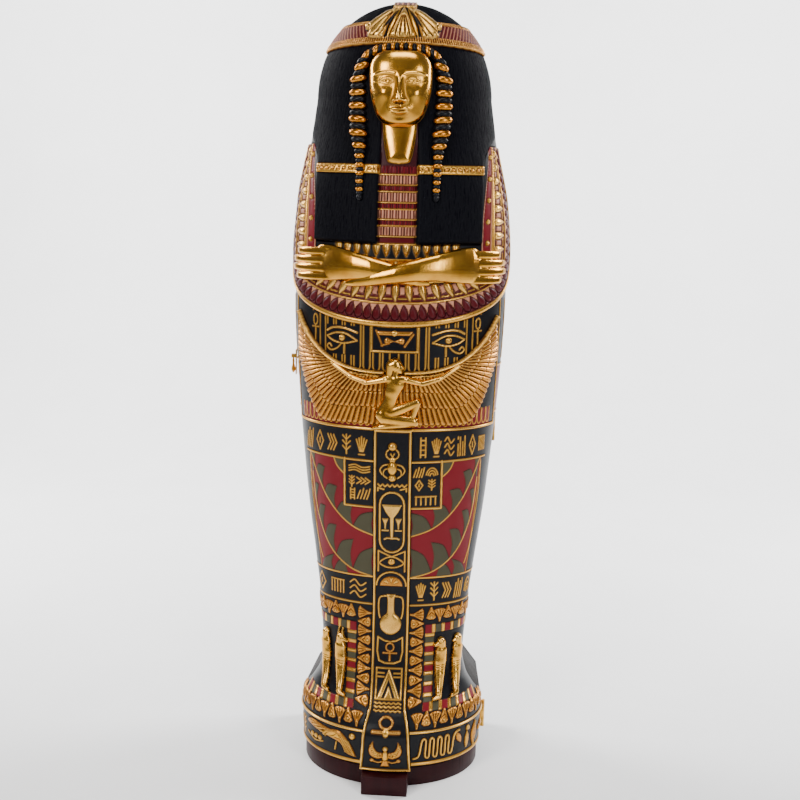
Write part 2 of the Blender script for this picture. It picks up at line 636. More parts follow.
def draw_column(sheet):
    """The ground and the rails, then the ornaments from the top down."""
    solid(sheet, block(-COLUMN_HALF, COLUMN_HALF, 0.188, COLUMN_TOP), BLACK, 0.0)
    right = list(zip(PANEL_HALF, PANEL_Z))
    solid(sheet, mirrored(right, -1) + right[::-1], BLACK, 0.0)
    for side in (-1, 1):
        stroke(sheet, mirrored(RAIL, side), 0.0058, GOLD, 0.0040)
    for z, half in ((COLUMN_TOP - 0.003, 0.0415), (0.0575, 0.0562)):
        stroke(sheet, [(-half, z), (half, z)], 0.0058, GOLD, 0.0040)
    draw_beetle(sheet)
    stroke(sheet, [(-0.034 + 0.0057 * k, 0.762 + 0.0028 * (-1) ** k) for k in range(13)], 0.0030)
    draw_goblets(sheet)
    draw_eye_and_vase(sheet)
    draw_cross_and_tent(sheet)
    draw_foot_bird(sheet)


BEETLE_LEGS = (
    ((0.006, 0.828), (0.014, 0.836), (0.014, 0.846), (0.008, 0.853)),
    ((0.008, 0.816), (0.022, 0.812), (0.029, 0.801), (0.024, 0.790)),
    ((0.008, 0.806), (0.019, 0.801), (0.021, 0.789), (0.012, 0.781)),
)


def draw_beetle(sheet):
    for side in (-1, 1):
        for leg in BEETLE_LEGS:
            stroke(sheet, mirrored(smooth_path(leg), side), 0.0030, GOLD, 0.0030)
    for turn in (-0.004, 0.004):
        stroke(sheet, [(turn, 0.826), (-turn, 0.842)], 0.0028, GOLD, 0.0030)
    disc(sheet, (0, 0.8597), 0.0100, GOLD, 0.0085)
    disc(sheet, (0, 0.8265), 0.0072, GOLD, 0.0050)
    solid(sheet, arc((0, 0.806), (0.0112, 0.0165), 0, 360, 18)[:-1], GOLD, 0.0090, 0.011)
    disc(sheet, (0, 0.7810), 0.0086, GOLD, 0.0080)


SMALL_CUP = (
    (0.009, 0.676), (0.023, 0.676), (0.018, 0.663), (0.0165, 0.648), (0.0150, 0.648), (0.0135, 0.663),
)
TALL_CUP = ((0.023, 0.712), (0.015, 0.694), (0.004, 0.678), (0.003, 0.622))


def draw_goblets(sheet):
    """A tall goblet between two small ones, in an oval."""
    top = arc((0, 0.713), (0.029, 0.032), 0, 180, 10)
    bottom = arc((0, 0.619), (0.029, 0.032), 180, 360, 10)
    stroke(sheet, top + bottom, 0.0042, GOLD, 0.0022, closed=True)
    for side in (-1, 1):
        stroke(sheet, mirrored([(0.020, 0.752), (0.034, 0.756), (0.034, 0.748)], side), 0.0034)
        solid(sheet, mirrored(SMALL_CUP, side), PALE_GOLD, 0.0015, 0.002)
        stroke(sheet, mirrored([(0.009, 0.645), (0.023, 0.645)], side), 0.0030, PALE_GOLD)
    solid(sheet, list(TALL_CUP) + mirrored(TALL_CUP[::-1], -1), PALE_GOLD, 0.0022, 0.003)
    foot = [(-0.017, 0.622), (-0.012, 0.625), (0.012, 0.625), (0.017, 0.622)]
    stroke(sheet, foot, 0.0040, PALE_GOLD, 0.0020)


VASE = (
    (0.0105, 0.474), (0.0085, 0.463), (0.0080, 0.440), (0.0100, 0.424), (0.0200, 0.414),
    (0.0260, 0.398), (0.0225, 0.382), (0.0100, 0.371), (0.0, 0.369),
)
HANDLE = ((0.010, 0.470), (0.026, 0.466), (0.030, 0.450), (0.029, 0.425), (0.026, 0.412))


def draw_eye_and_vase(sheet):
    """An eye in a bracket, a rising disc with rays and a vase with two handles."""
    lids = smooth_path([(0.0, 0.575), (0.014, 0.571), (0.029, 0.558), (0.014, 0.548), (0.0, 0.546)])
    for side in (-1, 1):
        stroke(sheet, mirrored([(0.032, 0.536), (0.032, 0.590), (0.0, 0.575)], side), 0.0030)
        stroke(sheet, mirrored(lids, side), 0.0030)
        stroke(sheet, mirrored(smooth_path(HANDLE), side), 0.0036, GOLD, 0.0026)
    disc(sheet, (0, 0.561), 0.0078, GOLD, 0.0042)
    stroke(sheet, arc((0, 0.498), (0.036, 0.036), 0, 180, 14), 0.0036, GOLD, 0.0020)
    solid(sheet, arc((0, 0.497), (0.027, 0.025), 0, 180, 12), COPPER, 0.0020, 0.003)
    for turn in (40, 90, 140):
        c, s = math.cos(math.radians(turn)), math.sin(math.radians(turn))
        ray = [(0.004, 0.0), (0.020, 0.005), (0.020, -0.005)]
        ray = [(a * c - b * s, 0.499 + a * s + b * c) for a, b in ray]
        solid(sheet, ray, PALE_GOLD, 0.0030, 0.003)
    half = smooth_path(VASE, 3)
    solid(sheet, half + mirrored(half[::-1], -1), PALE_GOLD, 0.0055, 0.014)


SHIELD = (
    (-0.030, 0.362), (-0.031, 0.325), (-0.026, 0.302), (-0.012, 0.296), (0.012, 0.296),
    (0.026, 0.302), (0.031, 0.325), (0.030, 0.362), (0.015, 0.353), (0.0, 0.350), (-0.015, 0.353),
)


def draw_cross_and_tent(sheet):
    """A looped cross on a shield, a framed tent and three rows of water."""
    stroke(sheet, SHIELD, 0.0036, GOLD, 0.0020, closed=True)
    stroke(sheet, arc((0, 0.336), (0.0095, 0.0105), 0, 360, 14), 0.0036, COPPER, 0.0024)
    stroke(sheet, [(0, 0.325), (0, 0.303)], 0.0048, COPPER, 0.0024)
    stroke(sheet, [(-0.016, 0.321), (0.016, 0.321)], 0.0040, COPPER, 0.0024)
    stroke(sheet, block(-0.031, 0.031, 0.212, 0.283), 0.0034, GOLD, 0.0018, closed=True)
    solid(sheet, [(-0.028, 0.214), (0.0, 0.282), (0.028, 0.214)], PALE_GOLD, 0.0020, 0.003)
    solid(sheet, [(-0.017, 0.214), (0.0, 0.258), (0.017, 0.214)], BLACK, 0.0002)
    solid(sheet, [(-0.010, 0.214), (0.0, 0.240), (0.010, 0.214)], PALE_GOLD, 0.0018, 0.003)
    for side in (-1, 1):
        for z in (0.262, 0.271):
            stroke(sheet, mirrored([(0.012, z), (0.029, z)], side), 0.0024)
    for level in range(3):
        z = 0.204 - 0.0075 * level
        water = [(-0.032 + 0.0058 * k, z + 0.0014 * (-1) ** k) for k in range(12)]
        stroke(sheet, water, 0.0030, GOLD, 0.0016)


def draw_foot_bird(sheet):
    """A looped cross over a bird with raised wings."""
    stroke(sheet, arc((0, 0.166), (0.0150, 0.0120), 0, 360, 16), 0.0048, COPPER, 0.0030)
    stroke(sheet, [(-0.031, 0.149), (0.031, 0.149)], 0.0056, COPPER, 0.0030)
    disc(sheet, (0, 0.149), 0.0070, GOLD, 0.0038)
    low = smooth_path([(0.004, 0.092), (0.018, 0.088), (0.033, 0.096), (0.037, 0.112), (0.029, 0.131)])
    wing = low + smooth_path([(0.029, 0.131), (0.026, 0.116), (0.018, 0.106), (0.008, 0.104)])
    for side in (-1, 1):
        solid(sheet, mirrored(wing, side), COPPER, 0.0040, 0.005)
        for t in (k / 3 for k in range(4)):
            quill = [(0.010 + 0.003 * t, 0.098), (0.022 + 0.010 * t, 0.094 + 0.022 * t)]
            quill.append((0.027 + 0.007 * t, 0.104 + 0.018 * t))
            stroke(sheet, mirrored(quill, side), 0.0018, GOLD, 0.0048)
        foot = [(0.004, 0.082), (0.016, 0.078), (0.030, 0.082)]
        stroke(sheet, mirrored(foot, side), 0.0034, COPPER, 0.0030)
        disc(sheet, (side * 0.030, 0.083), 0.0044, COPPER, 0.0036)
    solid(sheet, leaf((0, 0.070), (0, 0.116), 0.0135), GOLD, 0.0060, 0.006)
    disc(sheet, (0, 0.114), 0.0056, GOLD, 0.0068)
    solid(sheet, [(-0.0045, 0.086), (-0.010, 0.068), (0.010, 0.068), (0.0045, 0.086)], COPPER, 0.0040, 0.004)


raise_middle(lid)
draw_column(lid)
print("column drawn")

# %% [markdown]
# ## Black feathers, panels and wings
# Between the collar and the wings hang glossy black feathers with gilded quills. The wings are
# three layers of feathers that fan from the arms: the longest are laid first and the short
# coverts last, each a rounded tongue, so the grooves between them fall out by themselves.

# %% Black feathers, eyes and looped crosses
EYE_LINES = (
    ([(-0.040, 0.019), (-0.022, 0.027), (0.006, 0.027), (0.038, 0.018)], 0.0044),
    ([(-0.040, 0.006), (-0.016, 0.015), (0.010, 0.014), (0.038, -0.001)], 0.0034),
    ([(-0.040, 0.006), (-0.024, -0.004), (0.004, -0.009), (0.038, -0.001)], 0.0034),
    ([(0.006, -0.009), (0.006, -0.032)], 0.0044),
    ([(-0.002, -0.010), (-0.014, -0.022), (-0.030, -0.027), (-0.040, -0.019), (-0.034, -0.012),
      (-0.028, -0.018)], 0.0032),
)
EYE_U, EYE_Z, CROSS_U = 0.127, 1.110, 0.204


def feather_line(u, half, top, low, drop):
    """The edge of a hanging feather: down one side, round its tip and up the other."""
    tip = arc((u, low), (half, drop), 180, 360, 7)
    return [(u - half, top), (u - half, low)] + tip + [(u + half, low), (u + half, top)]


solid(lid, block(-PAST_SEAM, PAST_SEAM, 0.898, 1.30), BLACK, 0.0)
for side in (-1, 1):
    for k in range(9):
        feather = feather_line(0.0185 + 0.0232 * k, 0.0082, 1.21, 1.052, 0.012)
        stroke(lid, mirrored(feather, side), 0.0024, GOLD, 0.0012)
    solid(lid, mirrored(block(0.083, 0.171, 1.074, 1.144), side), BLACK, 0.0)
    for points, width in EYE_LINES:
        centred = [(side * (EYE_U - a), EYE_Z + b) for a, b in points]
        stroke(lid, smooth_path(centred) if len(points) > 2 else centred, width, GOLD, 0.0022)
    disc(lid, (side * EYE_U, 1.114), 0.0072, GOLD, 0.0040)
    solid(lid, mirrored(block(0.192, 0.217, 1.090, 1.172), side), BLACK, 0.0)
    loop = arc((CROSS_U, 1.151), (0.0066, 0.0125), 0, 360, 16)
    for points, width in (
        (loop, 0.0032), ([(CROSS_U, 1.138), (CROSS_U, 1.098)], 0.0040),
        ([(0.194, 1.134), (0.214, 1.134)], 0.0034),
    ):
        stroke(lid, mirrored(points, side), width, GOLD, 0.0022)
print("quills, eyes and crosses drawn")

# %% The framed panel under the collar
solid(lid, block(-0.056, 0.056, 1.084, 1.20), BLACK, 0.0)
stroke(lid, [(-0.054, 1.20), (-0.054, 1.087), (0.054, 1.087), (0.054, 1.20)], 0.0048, GOLD, 0.0026)
solid(lid, [(-0.042, 1.134), (0.042, 1.134), (0.036, 1.126), (-0.036, 1.126)], COPPER, 0.0018, 0.002)
stroke(lid, [(-0.043, 1.136), (-0.028, 1.100)], 0.0030, COPPER)
stroke(lid, [(0.043, 1.128), (0.024, 1.100)], 0.0044, COPPER)
disc(lid, (0, 1.130), 0.0060, GOLD, 0.0030)
for side in (-1, 1):
    solid(lid, mirrored([(0.0, 1.111), (0.018, 1.119), (0.020, 1.105)], side), COPPER, 0.0026, 0.003)
    disc(lid, (side * 0.017, 1.112), 0.0062, COPPER, 0.0030)
stroke(lid, [(-0.030, 1.101), (-0.012, 1.107)], 0.0036, COPPER)
print("framed panel done")

# %% Side panels beside the seam
PANEL_LINES = (
    ([(0.284, 0.900), (0.284, 1.26)], 0.0046, 0.0020), ([(0.284, 1.043), (0.38, 1.043)], 0.0046, 0.0020),
    ([(0.284, 0.927), (0.38, 0.927)], 0.0046, 0.0020), ([(0.318, 1.06), (0.318, 1.20)], 0.0040, 0.0018),
)
for side in (-1, 1):
    solid(lid, mirrored(block(0.286, PAST_SEAM, 0.927, 1.043), side), RED, 0.0)
    for points, width, rise in PANEL_LINES:
        stroke(lid, mirrored(points, side), width, GOLD, rise)
print("side panels done")

# %% The wings
WING_BASE = height(0.4690)


def wing_top(s):
    """Along the arm and the first feather, from the shoulder to the wing's tip."""
    return np.array((0.026 + 0.240 * s, WING_BASE + 0.128 + 0.001 * s + 0.125 * s**2.6))


def wing_low(s):
    """Along the tips of the longest feathers, from the body to the wing's tip."""
    across = 0.030 + 0.226 * min(1.04 * s, 1.0) + 0.018 * s**4
    return np.array((across, WING_BASE + 0.008 * s + 0.215 * float(fade(s, 0.52, 1.15)) ** 1.5))


def fuller_edge(s):
    return wing_low(s) + np.array((0.007, -0.005)) * float(fade(s, 0.2, 0.6))


WING_EDGE = np.array([fuller_edge(s) for s in np.linspace(0, 1, 30)] + [wing_top(1.0)])
WING_WAY = np.concatenate([[0], np.cumsum(np.hypot(*np.diff(WING_EDGE, axis=0).T))])


def wing_point(s, r):
    """A place on the wing: s turns from the body to the tip, r runs from the arm to the edge."""
    end = np.array([np.interp(s * WING_WAY[-1], WING_WAY, WING_EDGE[:, k]) for k in (0, 1)])
    root = wing_top(0.70 * s)
    bend = 0.012 * math.sin(math.pi * r) * math.sin(math.pi * s)
    return tuple(root + (end - root) * r + np.array((bend, -bend * 0.3)))


def feather_width(here, beside):
    return math.hypot(beside[0] - here[0], beside[1] - here[1]) * 0.94


# Where a layer of feathers starts and ends, how many it has and how high it lies.
WING_LAYERS = ((0.46, 1.0, 30, 0.0065), (0.24, 0.66, 27, 0.0085), (0.04, 0.36, 24, 0.0105))


def draw_wing(sheet, side):
    upper = [tuple(wing_top(s)) for s in np.linspace(0, 1, 18)]
    outline = upper + [wing_point(s, 1) for s in np.linspace(1, 0, 18)]
    solid(sheet, mirrored(outline, side), COPPER, 0.0015)
    for u in (0.006, 0.016, 0.026):
        short = tongue((u, 1.034), (u + 0.003, 0.915), 0.0092, 0.0096)
        solid(sheet, mirrored(short, side), COPPER, 0.0062, 0.0046)
    for r0, r1, count, rise in WING_LAYERS:
        for k in range(count, -1, -1):
            s = 0.015 + 0.97 * k / count
            next_s = min(s + 0.97 / count, 1.02)
            start, end = wing_point(s, r0), wing_point(s, r1)
            wide = min(max(feather_width(end, wing_point(next_s, r1)), 0.0058), 0.0125)
            narrow = min(max(feather_width(start, wing_point(next_s, r0)), 0.0040), wide)
            feather = tongue(start, end, narrow, wide)
            solid(sheet, mirrored(feather, side), COPPER, rise, wide * 0.5)
    edge = smooth_path([tuple(wing_top(s)) for s in np.linspace(0, 1, 9)], 3)
    stroke(sheet, mirrored(edge, side), 0.0066, GOLD, 0.0125)
    inner = smooth_path([wing_point(s, 0.06) for s in np.linspace(0.06, 0.70, 9)], 3)
    stroke(sheet, mirrored(inner, side), 0.0028, GOLD, 0.0118)


for side in (-1, 1):
    solid(lid, mirrored(block(0.0, 0.262, 0.900, 0.945), side), RED, 0.0)
    for k in range(14):
        fringe = feather_line(0.046 + 0.0158 * k, 0.007, 0.945, 0.922, 0.014)
        stroke(lid, mirrored(fringe, side), 0.0022, GOLD, 0.0012)
    draw_wing(lid, side)
    stroke(lid, mirrored([(0.0, 0.9000), (0.284, 0.9000)], side), 0.0062, GOLD, 0.0032)
print("wings spread")

# %% [markdown]
# ## The broad collar
# The collar hangs in a wide U from the shoulders: a gold rim, a row of dark red drops with pale
# points between them, a row of gilded petals, and a string of bosses on red next to the wig.
# Each band is laid over the last, working inwards, so only its inner edge has to be drawn.

# %% Lines of the collar
COLLAR_HALF, COLLAR_LOW, COLLAR_DROP, COLLAR_RISE = 0.343, height(0.5970), 0.150, 0.262


def collar_line(inward, t):
    """Places along the collar, t from -1 at one shoulder to 1 at the other."""
    t = np.asarray(t, float)
    turn = np.clip(np.abs(t) / 0.68, 0, 1) * math.pi / 2
    climb = np.clip((np.abs(t) - 0.68) / 0.32, 0, 1)
    across = (COLLAR_HALF - inward) * np.sin(turn) - (0.070 - 0.62 * inward) * fade(climb, 0.25, 1.0)
    rise = COLLAR_DROP - (COLLAR_DROP - inward) * np.cos(turn) + climb * COLLAR_RISE
    return [(float(a), float(COLLAR_LOW + b)) for a, b in zip(np.sign(t) * across, rise)]


def spaced(inward, pitch):
    """Values of t that set ornaments evenly along the collar."""
    t = np.linspace(-1, 1, 401)
    line = np.array(collar_line(inward, t))
    way = np.concatenate([[0], np.cumsum(np.hypot(*np.diff(line, axis=0).T))])
    count = int(round(way[-1] / pitch))
    return np.interp((np.arange(count) + 0.5) / count * way[-1], way, t)


def drop_shape(start, end, width):
    """A drop: pointed at the start, round at the end."""
    pointed = np.sin(math.pi / 2 * np.minimum(STEPS_ALONG / 0.62, 1))
    round_end = np.sqrt(1 - np.clip((STEPS_ALONG - 0.62) / 0.38, 0, 1) ** 2)
    return both_sides(start, end, width / 2 * pointed * round_end)


# %% Lay the collar from its rim inwards
SWEEP = np.linspace(-1, 1, 91)


def draw_collar(sheet):
    solid(sheet, collar_line(0.0, SWEEP), GOLD, 0.0082, 0.008)
    solid(sheet, collar_line(0.0130, SWEEP), DARK_RED, 0.0050)
    solid(sheet, collar_line(0.0290, SWEEP), PINK, 0.0052)
    for t in spaced(0.030, 0.0213):
        top, low = collar_line(0.0545, [t])[0], collar_line(0.0155, [t])[0]
        solid(sheet, drop_shape(top, low, 0.0200), DARK_RED, 0.0078, 0.008)
    solid(sheet, collar_line(0.0540, SWEEP), GOLD, 0.0070, 0.002)
    solid(sheet, collar_line(0.0580, SWEEP), DARK_RED, 0.0048)
    petals = spaced(0.080, 0.0315)
    for a, b in zip(petals, petals[1:]):
        t = (a + b) / 2
        top, low = collar_line(0.0940, [t])[0], collar_line(0.0700, [t])[0]
        solid(sheet, tongue(top, low, 0.0110, 0.0110, 2), PINK, 0.0062, 0.002)
        stroke(sheet, collar_line(0.0665, [t - (b - a) * 0.26, t + (b - a) * 0.26]), 0.0030, GOLD, 0.0066)
    for t in petals:
        top, low = collar_line(0.1060, [t])[0], collar_line(0.0590, [t])[0]
        solid(sheet, drop_shape(low, top, 0.0185), PALE_GOLD, 0.0098, 0.009)
    solid(sheet, collar_line(0.1000, SWEEP), GOLD, 0.0076, 0.003)
    solid(sheet, collar_line(0.1115, SWEEP), PINK, 0.0062)
    solid(sheet, collar_line(0.1150, SWEEP), RED, 0.0050)
    for t in spaced(0.124, 0.0480):
        disc(sheet, collar_line(0.1240, [t])[0], 0.0058, GOLD, 0.0110)
    solid(sheet, collar_line(0.1370, SWEEP), PINK, 0.0064, 0.002)
    solid(sheet, collar_line(0.1405, SWEEP), BLACK, 0.0050)


draw_collar(lid)
for k in range(-6, 7):
    u = 0.0227 * k
    tip = 1.3035 + 0.10 * u * u
    solid(lid, drop_shape((u, tip), (u, tip + 0.040), 0.0165), PALE_GOLD, 0.0085, 0.008)
stroke(lid, [(0.0227 * k, 1.2985 + 0.10 * (0.0227 * k) ** 2) for k in range(-7, 8)], 0.0030, GOLD, 0.0070)
solid(lid, [(-0.15, 1.2985), (0.15, 1.2985), (0.15, 1.262), (-0.15, 1.262)], COPPER, 0.0060)
for k in (-1, 0, 1):
    disc(lid, (0.0245 * k, 1.2905), 0.0052, PALE_GOLD, 0.0105)
print("collar laid")

# %% [markdown]
# ## The wig and its bands
# A heavy wig of fine black strands covers the head and falls in two lappets, tied near the top
# by an engraved gold band. The strands follow the columns of the chart, so they gather towards
# the crown by themselves.

# %% Cover the head and raise the lappets
LAPPET_LIFT, LAPPET_INNER, LAPPET_LOW = 0.020, 0.041, height(0.700)
WIG_EDGE = (
    (LAPPET_INNER, LAPPET_LOW), (0.200, LAPPET_LOW + 0.003), (0.200, 1.500), (0.206, 1.530),
    (0.232, 1.562), (0.290, 1.586), (0.420, 1.604), (0.420, 1.95),
)
BAND_Z = 1.4995


def draw_wig(sheet):
    throat = [(LAPPET_INNER, 1.590), (0.034, 1.608), (-0.034, 1.608), (-LAPPET_INNER, 1.590)]
    outline = list(WIG_EDGE)[::-1] + throat + mirrored(WIG_EDGE, -1)
    key, u, z = sheet.near(outline, 0.01)
    distance = shape_distance(u, z, outline)
    sheet.lay(key, distance, BLACK, 0.0)
    edge = np.sqrt(1 - (1 - np.clip(-distance / 0.009, 0, 1)) ** 2) * (z < 1.62) + (z >= 1.62)
    heavy = LAPPET_LIFT * (1 - 0.85 * fade(z, height(0.765), height(0.850)))
    heavy = heavy * (1 - 0.85 * fade(np.abs(u), 0.205, 0.270) * fade(z, 1.51, 1.56))
    sheet.lift[key] += heavy * edge * (distance < 0)
    hair = np.random.default_rng(7).normal(0.0, 1.0, sheet.u.shape)
    for shift in (1, 2, 4):
        hair = hair + np.roll(hair, shift, axis=0)
    sheet.proud[key] += (0.00005 * hair)[key] * (distance < -0.004)
    sheet.buff(key, distance, -3.2)
    for side in (-1, 1):
        key, u, z = sheet.near(mirrored([(0.036, 1.490), (0.199, 1.510)], side), 0.004)
        beside = np.maximum(0.0395 - np.abs(u), np.abs(u) - 0.1985)
        band = np.maximum(np.abs(z - BAND_Z) - 0.0095, beside)
        sheet.lay(key, band, GOLD, 0.0034, 0.003)
        sheet.buff(key, band, 0.0)
        for k in range(11):
            u0 = side * (0.047 + 0.0146 * k)
            disc(sheet, (u0, BAND_Z), 0.0044, COPPER, 0.0052)
            stroke(sheet, [(u0 + 0.0073, 1.493), (u0 + 0.0073, 1.506)], 0.0020, PALE_GOLD, 0.0046)


draw_wig(lid)
print("wig on")

# %% The ribbed panel between the lappets
THROAT_SHADE = ((0.030, 0.003, 0.005), 0.0)


def ribs(z0, z1, width, finish, rise):
    """Upright ribs side by side across the panel."""
    for k in range(13):
        u = -0.0396 + 0.0066 * k
        stroke(lid, [(u, z0), (u, z1)], width, finish, rise)


solid(lid, block(-LAPPET_INNER, LAPPET_INNER, 1.3330, 1.610), THROAT_SHADE, 0.0040)
solid(lid, block(-LAPPET_INNER, LAPPET_INNER, 1.3330, 1.508), DARK_RED, 0.0040)
ribs(1.493, 1.506, 0.0026, RED, 0.0048)
for z0, z1 in ((1.4660, 1.4890), (1.4270, 1.4510), (1.3890, 1.4120), (1.3510, 1.3745)):
    ribs(z0 + 0.003, z1 - 0.003, 0.0037, PINK, 0.0058)
    for z in (z0, z1):
        stroke(lid, [(-LAPPET_INNER, z), (LAPPET_INNER, z)], 0.0026, GOLD, 0.0064)
for z0, z1 in ((1.4120, 1.4270), (1.4510, 1.4660), (1.3745, 1.3890)):
    ribs(z0 + 0.003, z1 - 0.003, 0.0030, RED, 0.0050)
stroke(lid, [(-LAPPET_INNER, 1.334), (LAPPET_INNER, 1.334)], 0.0030, GOLD, 0.0062)
print("chest panel done")

# %% [markdown]
# ## Headband, strap and throat
# A band goes round the brow: ribbed gold edges and a red middle with slanting pale threads. A
# striped strap comes over the crown to the flower, and a gilded throat runs down to the panel.

# %% Headband
TICK_PAINT, STRAP_LOW = (0.16, 0.050, 0.010), 1.848


def headband_edges(u):
    """Heights of the band's lower and upper edge, so far round from the middle."""
    low = 1.7785 - 0.30 * np.minimum(np.abs(u), 0.23) ** 2
    return low, 1.8310 - 0.24 * np.minimum(np.abs(u), 0.20) ** 2


def draw_headband(sheet):
    key, u, z = sheet.near([(-0.36, 1.755), (0.36, 1.835)], 0.0)
    low, high = headband_edges(u)
    at_seam = np.abs(u) - 0.97 * np.interp(z, row_z, half_girth)
    distance = np.maximum(np.maximum(low - z, z - high), at_seam)
    sheet.lay(key, distance, COPPER, 0.0062, 0.003)
    sheet.buff(key, distance, 0.0)
    middle = np.maximum(np.maximum(low + 0.0145 - z, z - high + 0.0085), at_seam)
    sheet.lay(key, middle, DARK_RED, 0.0040)
    every_other = (np.arange(sheet.u.shape[1]) % 4 < 2)[key[1]]
    ticks = every_other[None, :] * (distance < -0.0025) * (middle > 0.0015)
    sheet.proud[key] -= 0.0016 * ticks
    sheet.paint[key] = np.where(ticks[..., None], TICK_PAINT, sheet.paint[key])
    for u0 in (0.062 + 0.0088 * k for k in range(26)):
        low, high = (float(edge) for edge in headband_edges(u0))
        thread = [(u0, low + 0.0155), (u0 + 0.006, high - 0.0095)]
        for side in (-1, 1):
            stroke(sheet, mirrored(thread, side), 0.0022, PINK, 0.0056)


def draw_strap(sheet):
    key, u, z = sheet.near([(-0.030, 1.846), (0.030, 1.90)], 0.0)
    distance = np.maximum(np.abs(u) - 0.026, STRAP_LOW - z)
    sheet.lay(key, distance, DARK_RED, 0.0038, 0.003)
    sheet.buff(key, distance, 0.0)
    for u0 in (-0.017, -0.006, 0.006, 0.017):
        sheet.lay(key, np.maximum(np.abs(u - u0) - 0.0022, STRAP_LOW - z), PINK, 0.0046)
    for u0 in (-0.0245, 0.0245):
        sheet.lay(key, np.maximum(np.abs(u - u0) - 0.0018, STRAP_LOW - z), GOLD, 0.0048)


def draw_neck(sheet):
    """The gilded throat, a smooth tongue that narrows to a round end on the chest panel."""
    throat = smooth_path([(0.037, 1.612), (0.0365, 1.585), (0.0335, 1.555), (0.0285, 1.530),
                          (0.0225, 1.5165), (0.0, 1.5125)])
    outline = throat + mirrored(throat[::-1], -1)
    key, u, z = sheet.near(outline, 0.008)
    distance = shape_distance(u, z, outline)
    sheet.lay(key, distance, GOLD)
    sheet.buff(key, distance, 1.0)
    depth = np.clip(-distance / 0.030, 0, 1)
    sheet.lift[key] += (0.011 - 0.004 * fade(z, 1.54, 1.60)) * np.sqrt(1 - (1 - depth) ** 2)


draw_neck(lid)
draw_headband(lid)
draw_strap(lid)
print("headband, strap and throat drawn")

# %% [markdown]
# ## Age in the recesses
# Cast and gilded work is toned with a brown wash that stays in the hollows and is wiped off the
# high places. The hollows are where the surface lies below the mean of its surroundings, so two
# blurred copies of the relief, a wide and a close one, find them and the high edges too.

# %% Find hollows and edges


def blurred(field, reach):
    """The mean of a field over a square round each point."""
    for axis in (0, 1):
        pad = [(0, 0), (0, 0)]
        pad[axis] = (reach + 1, reach)
        total = np.cumsum(np.pad(field, pad, mode="edge"), axis=axis)
        window = 2 * reach + 1
        ahead, behind = np.split(total, [window], axis=axis)[1], np.split(total, [-window], axis=axis)[0]
        field = (ahead - behind) / window
    return field


def relief_and_age(sheet):
    """The whole relief, how deep each point lies in a hollow, and how far on an edge."""
    relief = sheet.lift + sheet.proud
    around = blurred(relief, max(2, round(0.005 / sheet.pitch)))
    close = blurred(relief, max(1, round(0.0022 / sheet.pitch)))
    hollow = np.clip((around - relief) / 0.0020 + (close - relief) / 0.0011, 0, 1)
    edge = np.clip((relief - around) / 0.0022, 0, 1)
    return relief, hollow, edge


relief, hollow, edge = relief_and_age(lid)
print("relief", round(float(relief.min()) * 1000, 1), "to", round(float(relief.max()) * 1000, 1), "mm")

# %% [markdown]
# ## One finish for paint and leaf
# The door is a single casting, primed, painted and gilded, so one material serves it all. Every
# point carries its paint, how much leaf is on it and how deep it lies. The nodes turn that into
# colour, metal and gloss, break it up with fine noise, and add the tooling of leaf over gesso.

# %% Node helpers


def new_material(name):
    material = bpy.data.materials.new(name)
    material.use_nodes = True
    tree = material.node_tree
    return material, tree, tree.nodes["Principled BSDF"]


def add_node(tree, kind, values=(), **settings):
    """A node with some inputs set or linked, and its own settings."""
    node = tree.nodes.new(kind)
    for key, value in settings.items():
        setattr(node, key, value)
    for key, value in dict(values).items():
        if isinstance(value, bpy.types.NodeSocket):
            tree.links.new(value, node.inputs[key])
        else:
            node.inputs[key].default_value = value
    return node


def attribute(tree, name, output="Fac"):
    return add_node(tree, "ShaderNodeAttribute", attribute_name=name).outputs[output]


def reckon(tree, operation, a, b=0.0, clamp=False):
    return add_node(tree, "ShaderNodeMath", {0: a, 1: b}, operation=operation, use_clamp=clamp).outputs[0]


def mixed(tree, factor, a, b, blend="MIX"):
    node = add_node(tree, "ShaderNodeMix", data_type="RGBA", blend_type=blend)
    for index, value in ((0, factor), (6, a), (7, b)):
        if isinstance(value, bpy.types.NodeSocket):
            tree.links.new(value, node.inputs[index])
        else:
            node.inputs[index].default_value = value
    return node.outputs[2]


def noise(tree, scale, detail=3.0, rough=0.55, stretch=(1, 1, 1)):
    where = add_node(tree, "ShaderNodeTexCoord").outputs["Object"]
    where = add_node(tree, "ShaderNodeMapping", {"Vector": where, "Scale": stretch}).outputs[0]
    values = {"Vector": where, "Scale": scale, "Detail": detail, "Roughness": rough}
    return add_node(tree, "ShaderNodeTexNoise", values).outputs["Fac"]


def ramp(tree, value, low, high, to_low=0.0, to_high=1.0):
    made = add_node(tree, "ShaderNodeMapRange", {0: value, 1: low, 2: high, 3: to_low, 4: to_high})
    return made.outputs[0]


def bumped(tree, shader, rises, strength, distance):
    """Let a pattern rise and fall in the surface."""
    values = {"Height": rises, "Strength": strength, "Distance": distance}
    bump = add_node(tree, "ShaderNodeBump", values)
    tree.links.new(bump.outputs[0], shader.inputs["Normal"])


# %% Paint and leaf


